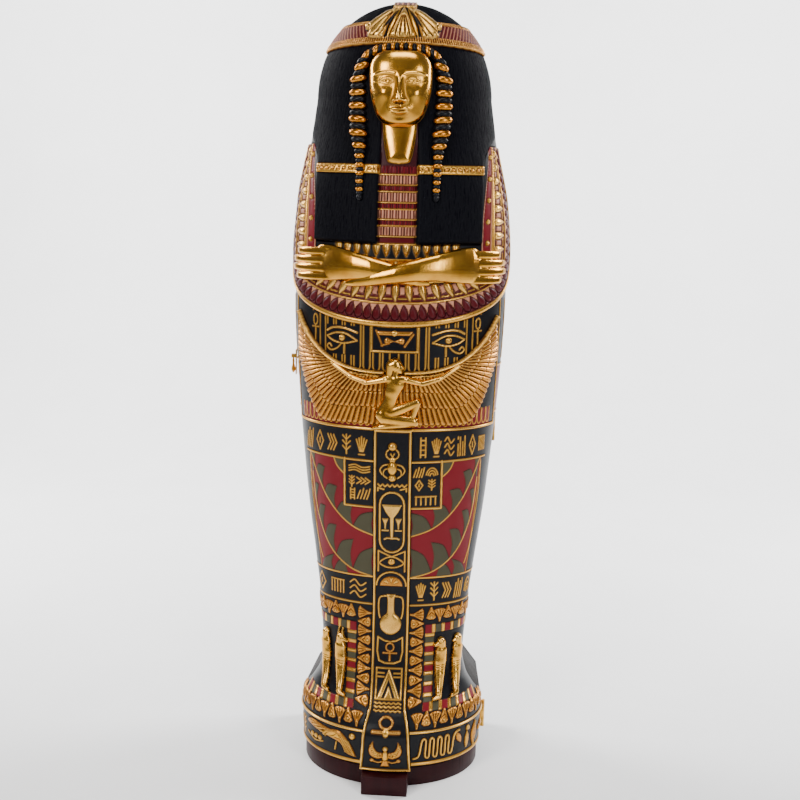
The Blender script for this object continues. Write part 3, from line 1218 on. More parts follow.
def door_finish():
    material, tree, shader = new_material("painted_and_gilded")
    paint, gilt = attribute(tree, "paint", "Color"), attribute(tree, "gilt")
    hollow, edge, polish = attribute(tree, "hollow"), attribute(tree, "edge"), attribute(tree, "polish")
    cloudy, fine = noise(tree, 26.0, 4.0), noise(tree, 420.0, 3.0)
    grime = reckon(tree, "MULTIPLY", hollow, ramp(tree, cloudy, 0.3, 0.7, 0.9, 1.5), True)
    worn = mixed(tree, 1.0, paint, (0.62, 0.46, 0.34, 1), "MULTIPLY")
    toned = mixed(tree, ramp(tree, cloudy, 0.40, 0.66, 0.0, 0.55), paint, worn)
    toned = mixed(tree, reckon(tree, "MULTIPLY", grime, 0.95), toned, (*BROWN[0], 1.0))
    shade = mixed(tree, reckon(tree, "MULTIPLY", hollow, 0.80), paint, (0.002, 0.001, 0.002, 1))
    colour = mixed(tree, gilt, shade, toned)
    bright = reckon(tree, "MULTIPLY", edge, reckon(tree, "MULTIPLY", gilt, 0.30))
    colour = mixed(tree, bright, colour, (0.92, 0.60, 0.18, 1))
    tree.links.new(colour, shader.inputs["Base Color"])
    metal = reckon(tree, "SUBTRACT", gilt, reckon(tree, "MULTIPLY", grime, 0.70), True)
    tree.links.new(metal, shader.inputs["Metallic"])
    rough = ramp(tree, fine, 0.3, 0.7, 0.24, 0.34)
    rough = reckon(tree, "SUBTRACT", rough, reckon(tree, "MULTIPLY", polish, 0.08), True)
    rough = reckon(tree, "ADD", rough, reckon(tree, "MULTIPLY", hollow, 0.35), True)
    rough = reckon(tree, "ADD", rough, ramp(tree, gilt, 0.0, 1.0, 0.07, 0.0), True)
    tree.links.new(rough, shader.inputs["Roughness"])
    plain = reckon(tree, "ADD", 1.0, reckon(tree, "MULTIPLY", polish, 0.2))
    plain = reckon(tree, "SUBTRACT", plain, reckon(tree, "MULTIPLY", hollow, 0.9), True)
    tree.links.new(reckon(tree, "MULTIPLY", plain, 0.17), shader.inputs["Specular IOR Level"])
    coarse = reckon(tree, "MULTIPLY", noise(tree, 160.0, 4.0), 0.8)
    grain = reckon(tree, "ADD", coarse, reckon(tree, "MULTIPLY", fine, 0.4))
    bumped(tree, shader, grain, 0.16, 0.0010)
    return material


DOOR_FINISH = door_finish()
print("door finish ready")

# %% [markdown]
# ## Wrap the sheets round the form
# A grid primitive with a point for every point of the sheet is laid on the form and lifted by
# the relief. A second, coarser grid is the smooth inner wall of the casting, 9 mm behind, and a
# fan of triangles joins their edges so that the piece is closed. The door is made in four such
# pieces, one above the other, to keep each of them a manageable size.

# %% Closed pieces from sheets


def wrapped_grid(name, places):
    """A grid primitive with a point at each given place."""
    rows, columns = places.shape[:2]
    bpy.ops.object.select_all(action="DESELECT")
    bpy.ops.mesh.primitive_grid_add(x_subdivisions=columns - 1, y_subdivisions=rows - 1, size=1.0)
    piece = bpy.context.object
    piece.name = piece.data.name = name
    piece.data.vertices.foreach_set("co", places.reshape(-1))
    return piece


def border(rows, columns, step=1):
    """Indices round the edge of a grid, once round from its first corner."""
    low = [(0, j) for j in range(0, columns, step)] + [(i, columns - 1) for i in range(step, rows, step)]
    high = [(rows - 1, j) for j in range(columns - 1 - step, -1, -step)]
    return low + high + [(i, 0) for i in range(rows - 1 - step, 0, -step)]


def close_behind(piece, rows, columns, back_places, step):
    """Add the inner wall behind a grid and join the two round their edge."""
    bm = bmesh.new()
    bm.from_mesh(piece.data)
    bm.verts.ensure_lookup_table()
    front = [bm.verts[i * columns + j] for i, j in border(rows, columns)]
    back_rows, back_columns = back_places.shape[:2]
    wall = [[bm.verts.new(p) for p in row] for row in back_places]
    for i in range(back_rows - 1):
        for j in range(back_columns - 1):
            bm.faces.new((wall[i][j], wall[i + 1][j], wall[i + 1][j + 1], wall[i][j + 1]))
    back = [wall[i][j] for i, j in border(back_rows, back_columns)]
    middle = step // 2
    for k in range(len(back)):
        a, b = back[k], back[(k + 1) % len(back)]
        fine = [front[(k * step + m) % len(front)] for m in range(step + 1)]
        for m in range(step):
            made = bm.faces.new((fine[m + 1], fine[m], a if m < middle else b))
            made.edges[0].smooth = False
        bm.faces.new((fine[middle], a, b))
    for face in bm.faces:
        face.smooth = True
    for a, b in zip(back, back[1:] + back[:1]):
        bm.edges.get((a, b)).smooth = False
    bmesh.ops.recalc_face_normals(bm, faces=bm.faces)
    bm.to_mesh(piece.data)
    bm.free()


def carry_paint(piece, fields, inside=(0.020, 0.014, 0.012)):
    """Write the sheet's paint to the piece. Points past the sheet's own get the plain inside."""
    count = len(piece.data.vertices)
    for name, field in fields.items():
        flat = np.zeros((count, 4 if name == "paint" else 1))
        if name == "paint":
            flat[:, :3], flat[:, 3] = inside, 1.0
            flat[: field.shape[0], :3] = field
            made = piece.data.attributes.new(name, "FLOAT_COLOR", "POINT")
            made.data.foreach_set("color", flat.reshape(-1))
        else:
            flat[: field.shape[0], 0] = field
            made = piece.data.attributes.new(name, "FLOAT", "POINT")
            made.data.foreach_set("value", flat.reshape(-1))


def finish_piece(piece, material, body, node=None):
    """Hang a finished piece on its body."""
    if not piece.data.materials:
        piece.data.materials.append(material)
    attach(piece, body)
    if node:
        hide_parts(node)
    print(piece.name, len(piece.data.polygons), "faces")


# %% The door's skin in four pieces
skin = form + outward * relief[..., None]
door_points = np.array([v.co for v in bpy.data.objects["door"].data.vertices])
for axis, start in ((0, 0.15), (2, 1.70)):
    reach, limit = np.abs(skin[..., axis]).max(), np.abs(door_points[:, axis]).max() - 1e-4
    squeeze = max(reach - limit, 0) * fade(np.abs(skin[..., axis]), start, reach)
    skin[..., axis] -= np.sign(skin[..., axis]) * squeeze
skin[:, 0, 1] = skin[:, -1, 1] = 0.0
skin[0, :, 2] = FOOT_Z
wall_places = form - outward * LID_WALL
wall_places[:, 0, 1] = wall_places[:, -1, 1] = 0.0
wall_places[0, :, 2] = FOOT_Z
inner_half = np.maximum(half_width(row_z) - LID_WALL, 0)[:, None]
wall_places[..., 0] = np.clip(wall_places[..., 0], -inner_half, inner_half)
wall_places[..., 1] = np.minimum(wall_places[..., 1], 0.0)
wall_places[..., 2] = np.minimum(wall_places[..., 2], TOP_Z - LID_WALL)
CUTS = (0, 252, 504, 756, 1008)
for name, low, high in zip(("door_foot", "door_legs", "door_breast", "door_head"), CUTS, CUTS[1:]):
    part = (slice(low, high + 1), slice(None))
    piece = wrapped_grid(name, skin[part])
    back_places = wall_places[part][::WALL_STEP, ::WALL_STEP]
    close_behind(piece, high - low + 1, COLUMNS, back_places, WALL_STEP)
    fields = {"paint": lid.paint[part].reshape(-1, 3)}
    for key, field in (("gilt", lid.gilt), ("hollow", hollow), ("edge", edge), ("polish", lid.polish)):
        fields[key] = field[part].reshape(-1)
    carry_paint(piece, fields)
    finish_piece(piece, DOOR_FINISH, "door", "door")

# %% [markdown]
# ## The face
# A calm mask of polished leaf, drawn on the proportions that drawing books teach: three equal
# parts from hairline to brow, brow to nose and nose to chin, an eye's width between the eyes.
# It stands well proud of the wig, so it has a grid of its own with a point to every millimetre.

# %% Relief of the face, in millimetres from the middle of the chin
FACE_LOW, FACE_HIGH, FACE_HALF, FACE_LIFT = height(0.843), height(0.934), 0.070, 0.042


def ridge(away, width):
    return np.exp(-((away / width) ** 2))


def jaw_width(t):
    return np.sin(math.pi / 2 * np.clip(0.40 + 0.95 * t, 0, 1))


def face_depth(x, t):
    """Depth ahead of the mask's rim, for x across from -1 to 1 and t up from 0 to 1."""
    oval = np.clip(1 - np.abs(x / 1.02) ** 2.8, 0, 1) ** 0.5
    round_ends = np.clip(1 - np.abs((t - 0.52) / 0.54) ** 3.2, 0, 1) ** 0.5
    depth = 1000 * FACE_LIFT * oval * round_ends
    a, b = 1000 * FACE_HALF * x * jaw_width(t), 166.0 * t
    bridge = fade(b, 50, 60) * (1 - 0.62 * fade(b, 62, 104)) * (1 - fade(b, 98, 128))
    depth = depth + 17.0 * bridge * ridge(a, 7.0 + 3.4 * (1 - fade(b, 56, 92)) + 5.0 * fade(b, 98, 124))
    depth = depth - 1.2 * ridge(a, 2.6) * ridge(b - 48, 4.5)
    depth = depth + 5.5 * ridge(a, 18) * ridge(b - 11, 9)
    for side in (-1, 1):
        c = side * a
        depth = depth + 5.6 * ridge(c - 11.5, 4.6) * ridge(b - 57.5, 5.0)
        depth = depth - 3.4 * ridge(c - 6.6, 2.6) * ridge(b - 52.5, 2.6)
        depth = depth - 9.0 * ridge(c - 29, 16.5) * ridge(b - 100, 11.5)
        depth = depth + 4.2 * ridge(c - 37, 17) * ridge(b - 74, 14)
        depth = depth - 1.8 * ridge(c - 40, 12) * ridge(b - 38, 16)
        depth = depth + eye_depth(c - 30, b - 99)
        brow = b - 118.0 + 0.0062 * (c - 31) ** 2
        depth = depth + 2.3 * ridge(brow, 2.4) * fade(c, 8, 14) * (1 - fade(c, 56, 62))
    return (depth + mouth_depth(a, b)) / 1000


def eye_depth(c, b):
    """An almond eye with rimmed lids and a drawn-out corner."""
    reach = np.clip(1 - (c / 15.5) ** 2, 0, 1)
    upper, lower = 6.6 * reach, -4.6 * reach
    ball = 7.0 * ridge(c, 14.0) * ridge(b - 1, 9.0)
    within = np.abs(c) < 15.5
    lids = 2.3 * ridge(b - upper, 1.45) * within + 1.5 * ridge(b - lower, 1.3) * within
    crease = 1.0 * ridge(b - upper - 4.2, 1.3) * (np.abs(c) < 16) * reach**0.3
    corner = 1.3 * ridge(b + 0.10 * (c - 15), 1.3) * fade(c, 13, 17) * (1 - fade(c, 26, 30))
    iris = 0.9 * fade(6.2 - np.hypot(c, b - 1), 0, 1.2) - 1.4 * ridge(np.hypot(c, b - 1), 2.2)
    return ball + lids + crease + corner + iris


def mouth_depth(a, b):
    """Full closed lips with a soft bow."""
    reach = np.clip(1 - (a / 23.0) ** 2, 0, 1)
    line = b - 37.0 - 1.2 * (a / 23) ** 2
    bow = 4.6 * reach**0.8 - 1.1 * ridge(a, 4.0)
    upper = 4.4 * ridge(line - bow * 0.62, 3.2) * reach**0.7
    lower = 5.0 * ridge(line + 4.8 * reach**0.6, 3.6) * reach**0.8
    return upper + lower - 3.0 * ridge(line, 1.2) * reach**0.35 + 2.2 * ridge(a, 24) * ridge(b - 38, 13)


# %% Make the mask
MASK_ROWS, MASK_COLUMNS, MASK_STEP = 169, 145, 6
x, t = np.meshgrid(np.linspace(-1, 1, MASK_COLUMNS), np.linspace(0, 1, MASK_ROWS))
chin_round = np.sqrt(1 - 0.72 * np.clip((0.17 - t) / 0.17, 0, 1) ** 2.2)
brow_round = np.sqrt(1 - 0.62 * np.clip((t - 0.74) / 0.26, 0, 1) ** 2.4)
face_u = FACE_HALF * x * (jaw_width(t) * chin_round) * brow_round
face_z = FACE_LOW + (FACE_HIGH - FACE_LOW) * t
ground = on_lid(face_u, face_z, 0.0)[..., 1]
plane = float(bulge(np.array(height(0.87)))) + RIM_DEPTH
ahead_of_wig = np.maximum(plane + face_depth(x, t), 0.002 - ground)
mask_places = np.stack([face_u, -ahead_of_wig, face_z], axis=-1)
mask_back = np.stack([face_u, ground + LID_WALL / 2, face_z], axis=-1)[::MASK_STEP, ::MASK_STEP]
mask = wrapped_grid("face", mask_places)
close_behind(mask, MASK_ROWS, MASK_COLUMNS, mask_back, MASK_STEP)
small = ahead_of_wig - blurred(ahead_of_wig, 5)
mask_fields = {
    "paint": np.full((x.size, 3), GOLD[0]), "gilt": np.ones(x.size), "polish": np.ones(x.size),
    "hollow": np.clip(-small / 0.0014, 0, 1).reshape(-1), "edge": np.clip(small / 0.002, 0, 1).reshape(-1),
}
carry_paint(mask, mask_fields, GOLD[0])
finish_piece(mask, DOOR_FINISH, "door", "door")

# %% [markdown]
# ## Fringe and ringed locks
# One cord of rings, gold and black in turn, arches over the brow and hangs down beside the face
# as two locks that shrink towards their tips. A ball is modelled once, and flattened copies of
# it are set along that path and turned across it.

# %% The path of the rings
ARCH_CENTRE, ARCH_HALF, ARCH_RISE = 1.7290, 0.0850, 0.0360
LOCK_STOPS = (1.729, 1.70, 1.66, 1.62, 1.595, 1.57, 1.545, 1.52, 1.44)
LOCK_ACROSS = (0.0850, 0.0965, 0.0975, 0.0960, 0.0930, 0.0895, 0.0850, 0.0830, 0.0815)
LOCK_SIZE = (0.0180, 0.0205, 0.0210, 0.0225, 0.0230, 0.0220, 0.0165, 0.0110, 0.0086)
LOCK_LIFT = (0.0150, 0.0080, 0.0070, 0.0090, 0.0130, 0.0180, 0.0220, 0.0250, 0.0250)


def lock_path(count=200):
    """Places, ring size and lift from the middle of the brow down one side."""
    turns = np.linspace(math.pi / 2, 0, count, endpoint=False)
    u, z = ARCH_HALF * np.cos(turns), ARCH_CENTRE + ARCH_RISE * np.sin(turns)
    fall = np.linspace(LOCK_STOPS[0], LOCK_STOPS[-1], count)
    stops = [-s for s in LOCK_STOPS]
    across, size, lift = (np.interp(-fall, stops, c) for c in (LOCK_ACROSS, LOCK_SIZE, LOCK_LIFT))
    size = np.concatenate([0.0100 + 0.0085 * np.cos(turns) ** 2, size])
    lift = np.concatenate([0.0190 - 0.004 * np.cos(turns), lift])
    return np.concatenate([u, across]), np.concatenate([z, fall]), size, lift


def lid_frame(u, z, lift):
    """Place, way across, way out and way up on the lid."""
    place = on_lid(u, z, lift)
    rise = on_lid(u, z + 0.004, lift) - on_lid(u, z - 0.004, lift)
    rise /= np.linalg.norm(rise)
    out = on_lid(u, z, lift + 0.01) - place
    out /= np.linalg.norm(out)
    return place, np.cross(rise, -out), out, rise


def own_copy(source):
    """A copy of a piece with a mesh of its own."""
    copy = source.copy()
    copy.data = source.data.copy()
    bpy.context.scene.collection.objects.link(copy)
    return copy


def placed(source, u, z, lift, wide, thick, tall, turn=0.0):
    """A copy of a unit piece, sized and turned to the lid."""
    place, across, out, rise = lid_frame(u, z, lift)
    c, s = math.cos(turn), math.sin(turn)
    across, rise = across * c + rise * s, rise * c - across * s
    copy = own_copy(source)
    frame_matrix = Matrix.Identity(4)
    for column, axis in enumerate((across * wide, -out * thick, rise * tall, place)):
        for row in range(3):
            frame_matrix[row][column] = axis[row]
    copy.data.transform(frame_matrix)
    return copy


def pick(things):
    """Select only these things and make the first one active."""
    bpy.ops.object.select_all(action="DESELECT")
    for thing in things:
        thing.select_set(True)
    bpy.context.view_layer.objects.active = things[0]


def joined(name, things):
    pick(things)
    bpy.ops.object.join()
    things[0].name = things[0].data.name = name
    return things[0]


def plain_fields(piece, finish, polish=0.0):
    """The same paint and gloss all over a piece."""
    count = len(piece.data.vertices)
    fields = {"paint": np.full((count, 3), finish[0]), "gilt": np.full(count, finish[1])}
    fields.update(polish=np.full(count, polish), hollow=np.zeros(count), edge=np.zeros(count))
    carry_paint(piece, fields)


# %% Thread the rings
# A ring's finish, then its width, thickness, height and spacing as shares.
GOLD_RING, BLACK_RING = (COPPER, 1.0, 0.66, 0.70, 1.05), (BLACK, 0.90, 0.58, 0.60, 0.95)
LEAST_PITCH = 0.0078

bpy.ops.object.select_all(action="DESELECT")
bpy.ops.mesh.primitive_uv_sphere_add(segments=20, ring_count=12, radius=1.0)
ball = bpy.context.object
bpy.ops.object.shade_smooth()
path = lock_path()
way = np.concatenate([[0], np.cumsum(np.hypot(np.diff(path[0]), np.diff(path[1])))])
for side, name in ((-1, "lock_left"), (1, "lock_right")):
    rings, along, gold = [], (0.0 if side < 0 else 0.0092), side < 0
    while along < way[-1]:
        u, z, size, lift = (float(np.interp(along, way, line)) for line in path)
        ahead, behind = along + 0.004, along - 0.004
        rise_u, rise_z = (np.interp(behind, way, line) - np.interp(ahead, way, line) for line in path[:2])
        turn = -math.atan2(rise_u, rise_z)
        pitch = LEAST_PITCH + 0.52 * max(size - LEAST_PITCH, 0)
        finish, wide, thick, tall, spacing = GOLD_RING if gold else BLACK_RING
        ring = placed(ball, side * u, z, lift, size * wide, size * thick, pitch * tall, side * turn)
        plain_fields(ring, finish)
        rings.append(ring)
        along += pitch * spacing
        gold = not gold
    tip = placed(ball, side * LOCK_ACROSS[-1], LOCK_STOPS[-1] - 0.004, LOCK_LIFT[-1], 0.0066, 0.0056, 0.0082)
    plain_fields(tip, BLACK)
    finish_piece(joined(name, rings + [tip]), DOOR_FINISH, "door")
bpy.data.objects.remove(ball)

# %% [markdown]
# ## Crossed forearms and open hands
# The arms are modelled as rounded tubes and fingers that follow the lid, melted into one skin
# by a voxel remesh and then smoothed, as wax would be over a core. A brown body left between
# the fingers keeps the gaps dark.

# %% Tubes that follow the lid


def new_object(name, data):
    thing = bpy.data.objects.new(name, data)
    bpy.context.scene.collection.objects.link(thing)
    return thing


def blurred_line(values):
    """Ease the corners of a row of values without moving its ends."""
    eased = np.array(values, float)
    eased[1:-1] = 0.25 * eased[:-2] + 0.5 * eased[1:-1] + 0.25 * eased[2:]
    return eased


def tube(name, stops, sides=20, flat=1.0):
    """A closed tube through stops, boxier where flat is under 1.

    A stop is its place across, its rise over the arms' height, its lift off the lid, and its
    half width and half thickness.
    """
    stops = np.array(stops, float)
    dense = np.linspace(0, len(stops) - 1, 5 * (len(stops) - 1) + 1)
    eased = [np.interp(dense, np.arange(len(stops)), blurred_line(c)) for c in stops.T]
    stops = np.stack(eased, axis=1)
    bm = bmesh.new()
    rings = []
    for k, (u, rise, lift, wide, thick) in enumerate(stops):
        ahead_stop, behind_stop = stops[min(k + 1, len(stops) - 1)], stops[max(k - 1, 0)]
        place, across, out, up = lid_frame(u, ARM_BASE + rise, lift)
        along = np.array([ahead_stop[0] - behind_stop[0], ahead_stop[1] - behind_stop[1]])
        along /= np.hypot(*along)
        beside = across * -along[1] + up * along[0]
        ring = []
        for a in np.linspace(0, 2 * math.pi, sides, endpoint=False):
            side_way, out_way = (math.copysign(abs(c) ** flat, c) for c in (math.cos(a), math.sin(a)))
            ring.append(bm.verts.new(place + beside * wide * side_way + out * thick * out_way))
        rings.append(ring)
    for low, high in zip(rings, rings[1:]):
        for j in range(sides):
            bm.faces.new((low[j], low[(j + 1) % sides], high[(j + 1) % sides], high[j]))
    bm.faces.new(rings[0])
    bm.faces.new(rings[-1])
    bmesh.ops.recalc_face_normals(bm, faces=bm.faces)
    mesh = bpy.data.meshes.new(name)
    bm.to_mesh(mesh)
    bm.free()
    return new_object(name, mesh)


def remeshed(piece, voxel, rounds):
    """Melt overlapping bodies into one skin and smooth it."""
    pick([piece])
    melt = piece.modifiers.new("melt", "REMESH")
    melt.mode, melt.voxel_size = "VOXEL", voxel
    bpy.ops.object.modifier_apply(modifier=melt.name)
    ease = piece.modifiers.new("ease", "SMOOTH")
    ease.factor, ease.iterations = 0.5, rounds
    bpy.ops.object.modifier_apply(modifier=ease.name)
    bpy.ops.object.shade_smooth()


# %% Arms
ARM_BASE = height(0.6690)
FINGER_ENDS, FINGER_GAP = (0.256, 0.272, 0.277, 0.262), 0.0195
LONG_ELBOW = [(-0.112, -0.031, 0.007, 0.008, 0.006), (-0.094, -0.027, 0.012, 0.0140, 0.010)]
SHORT_ELBOW = [(-0.074, -0.024, 0.008, 0.010, 0.008)]
FOREARM = [
    (-0.055, -0.020, 0.018, 0.0200, 0.014), (0.000, -0.006, 0.024, 0.0245, 0.017),
    (0.055, 0.006, 0.026, 0.029, 0.018), (0.090, 0.009, 0.025, 0.031, 0.016),
    (0.118, 0.011, 0.022, 0.0365, 0.014),
]


def palm_stops(web):
    """The flat of the hand, thinning out past the web of the fingers."""
    return [
        (web - 0.027, 0.011, 0.019, 0.0395, 0.0125), (web - 0.011, 0.0105, 0.0155, 0.0395, 0.0105),
        (web, 0.010, 0.0130, 0.0385, 0.0090), (web + 0.012, 0.010, 0.0100, 0.0365, 0.0065),
        (web + 0.022, 0.010, 0.007, 0.0340, 0.004),
    ]


def finger_stops(side, reach, rise):
    return [
        (side * 0.140, rise * 0.94 + 0.001, 0.0150, 0.0090, 0.0080),
        (side * 0.170, rise, 0.0150, 0.0090, 0.0090),
        (side * 0.200, rise - 0.001, 0.0135, 0.0089, 0.0090),
        (side * 0.228, rise - 0.0015, 0.0118, 0.0089, 0.0086),
        (side * (reach - 0.010), rise - 0.002, 0.0105, 0.0087, 0.0080),
        (side * (reach - 0.003), rise - 0.002, 0.0095, 0.0076, 0.0066),
        (side * reach, rise - 0.002, 0.0085, 0.0040, 0.0034),
    ]


def thumb_stops(side, level):
    return [
        (side * 0.082, 0.026, 0.018 + level, 0.0110, 0.0100),
        (side * 0.112, 0.038, 0.018 + level * 0.6, 0.0105, 0.0100),
        (side * 0.145, 0.0450, 0.0165, 0.0085, 0.0090), (side * 0.168, 0.0465, 0.0155, 0.0076, 0.0080),
        (side * 0.178, 0.0465, 0.0145, 0.0062, 0.0062), (side * 0.183, 0.0465, 0.0140, 0.0030, 0.0030),
    ]


for side, level, web, elbow, name in (
    (-1, 0.0, 0.168, SHORT_ELBOW, "arm_left"), (1, 0.009, 0.182, LONG_ELBOW, "arm_right"),
):
    stops = [
        (side * a, b, c + level * min(1, max(0, 1.2 - abs(a) / 0.2)), d, e)
        for a, b, c, d, e in elbow + FOREARM + palm_stops(web)
    ]
    bodies = [tube("forearm", stops, 28)]
    for k, reach in enumerate(FINGER_ENDS):
        bodies.append(tube("finger", finger_stops(side, reach, 0.0375 - FINGER_GAP * k), 20, 0.55))
    bodies.append(tube("thumb", thumb_stops(side, level), 16))
    arm = joined(name, bodies)
    remeshed(arm, 0.0014, 4)
    plain_fields(arm, GOLD, 1.0)
    shadow = [(side * a, 0.0075, 0.0100, 0.0330, 0.0055) for a in (0.150, 0.180, 0.210, 0.236, 0.243)]
    between = tube("between_fingers", shadow)
    plain_fields(between, BROWN)
    finish_piece(joined(name, [arm, between]), DOOR_FINISH, "door")

# %% [markdown]
# ## Finer sheets for the figures
# The flower, the kneeling figure and the four guardians stand higher and have small parts, so
# each gets a sheet with a point to every millimetre. Limbs are drawn as bones with a thickness
# and melted together; what lies below the lid's skin is trimmed off and the rest gets a back.

# %% Bones and trimmed sheets
BACKING = 0.004


def fine_sheet(u0, u1, z0, z1, pitch=0.0011):
    columns, rows = int(round((u1 - u0) / pitch)) + 1, int(round((z1 - z0) / pitch)) + 1
    u, z = np.meshgrid(np.linspace(u0, u1, columns), np.linspace(z0, z1, rows))
    return Sheet(u, z, pitch)


def melt_bones(sheet, bones, blend=0.0009):
    """Height over the lid of rounded bones that flow into each other.

    A bone is two ends, each (across, z, half width, thickness), and a base that it lies on.
    """
    total = np.zeros(sheet.u.shape)
    for (a, b, ra, ta), (c, d, rb, tb), base in bones:
        length = max((c - a) ** 2 + (d - b) ** 2, 1e-12)
        t = np.clip(((sheet.u - a) * (c - a) + (sheet.z - b) * (d - b)) / length, 0, 1)
        away = np.hypot(sheet.u - a - t * (c - a), sheet.z - b - t * (d - b))
        radius, thick = ra + t * (rb - ra), ta + t * (tb - ta)
        inside = np.sqrt(np.clip(1 - (away / radius) ** 2, 0, 1))
        total += np.exp(np.clip((base + thick * inside - np.maximum(away - radius, 0) * 4) / blend, -40, 40))
    return blurred(blend * np.log(np.maximum(total, 1e-18)), 1)


def relief_piece(name, sheet, keep, polish=0.0):
    """The kept part of a fine sheet as a closed piece on the lid."""
    relief, hollow, edge = relief_and_age(sheet)
    piece = wrapped_grid(name, on_lid(sheet.u, sheet.z, relief))
    fields = {"paint": sheet.paint.reshape(-1, 3), "gilt": sheet.gilt.reshape(-1)}
    fields.update(hollow=hollow.reshape(-1), edge=edge.reshape(-1), polish=np.full(relief.size, polish))
    carry_paint(piece, fields)
    kept = keep.reshape(-1)
    bm = bmesh.new()
    bm.from_mesh(piece.data)
    bm.verts.ensure_lookup_table()
    gone = [face for face in bm.faces if not all(kept[v.index] for v in face.verts)]
    bmesh.ops.delete(bm, geom=gone, context="FACES")
    bm.to_mesh(piece.data)
    bm.free()
    back = piece.modifiers.new("back", "SOLIDIFY")
    back.thickness, back.offset = BACKING, -1.0
    bpy.ops.object.modifier_apply(modifier=back.name)
    bpy.ops.object.shade_smooth()
    finish_piece(piece, DOOR_FINISH, "door")


# %% The flower on the brow
FLOWER_EDGE = (
    (0.0, 1.858), (0.030, 1.852), (0.052, 1.841), (0.072, 1.827), (0.086, 1.815), (0.087, 1.806),
    (0.080, 1.802), (0.082, 1.792), (0.070, 1.785), (0.052, 1.785), (0.038, 1.787), (0.030, 1.7845),
    (0.014, 1.7825), (0.0, 1.7820),
)
SIDE_PETAL = smooth_path((
    (0.010, 1.854), (0.034, 1.849), (0.056, 1.836), (0.076, 1.821), (0.084, 1.813), (0.083, 1.807),
    (0.076, 1.803), (0.079, 1.793), (0.070, 1.788), (0.056, 1.7875), (0.043, 1.789), (0.034, 1.815),
    (0.020, 1.838),
), 3)
MIDDLE_PETAL = smooth_path((
    (0.0, 1.856), (0.008, 1.842), (0.019, 1.815), (0.0275, 1.796), (0.028, 1.789), (0.016, 1.786),
    (0.0, 1.7845),
), 3)
flower = fine_sheet(-0.094, 0.094, 1.778, 1.872)
outline = list(FLOWER_EDGE) + mirrored(FLOWER_EDGE[-2:0:-1], -1)
flower_edge = shape_distance(flower.u, flower.z, outline)
flower.lift[:] = np.where(flower_edge < 0, 0.0070, -0.003)
solid(flower, outline, BLACK, 0.0010, 0.003)
for side in (-1, 1):
    solid(flower, mirrored(SIDE_PETAL, side), PALE_GOLD, 0.0095, 0.010)
    for u, z in ((0.078, 1.797), (0.066, 1.790), (0.053, 1.790)):
        vein = smooth_path([(0.024, 1.842), (u * 0.72, z + 0.020), (u, z)])
        stroke(flower, mirrored(vein, side), 0.0022, COPPER, 0.0050)
    disc(flower, (side * 0.0795, 1.8115), 0.0062, PALE_GOLD, 0.0110)
    sepal = leaf((0.008, 1.854), (0.0345, 1.789), 0.0110, belly=0.6)
    solid(flower, mirrored(sepal, side), GOLD, 0.0062, 0.005)
    gap = leaf((0.012, 1.852), (0.0440, 1.806), 0.0060, belly=0.6)
    solid(flower, mirrored(gap, side), BLACK, 0.0030)
solid(flower, MIDDLE_PETAL + mirrored(MIDDLE_PETAL[::-1], -1), PALE_GOLD, 0.0120, 0.011)
for end in (-0.016, -0.006, 0.006, 0.016):
    stroke(flower, [(end * 0.25, 1.832), (end * 0.75, 1.805), (end, 1.789)], 0.0020, COPPER, 0.0088)
solid(flower, block(-0.024, 0.024, 1.857, 1.8645), GOLD, 0.0060, 0.003)
for k in range(9):
    stroke(flower, [(-0.021 + 0.00525 * k, 1.859), (-0.021 + 0.00525 * k, 1.863)], 0.0022, PALE_GOLD, 0.0074)
bar = np.maximum(np.abs(flower.u) - 0.024, np.abs(flower.z - 1.8608) - 0.0037)
keep = (flower_edge < 0.0016) | (bar < 0.0)
flower.lift[(bar < 0.0) & (flower_edge >= 0)] = 0.003
relief_piece("brow_flower", flower, keep)

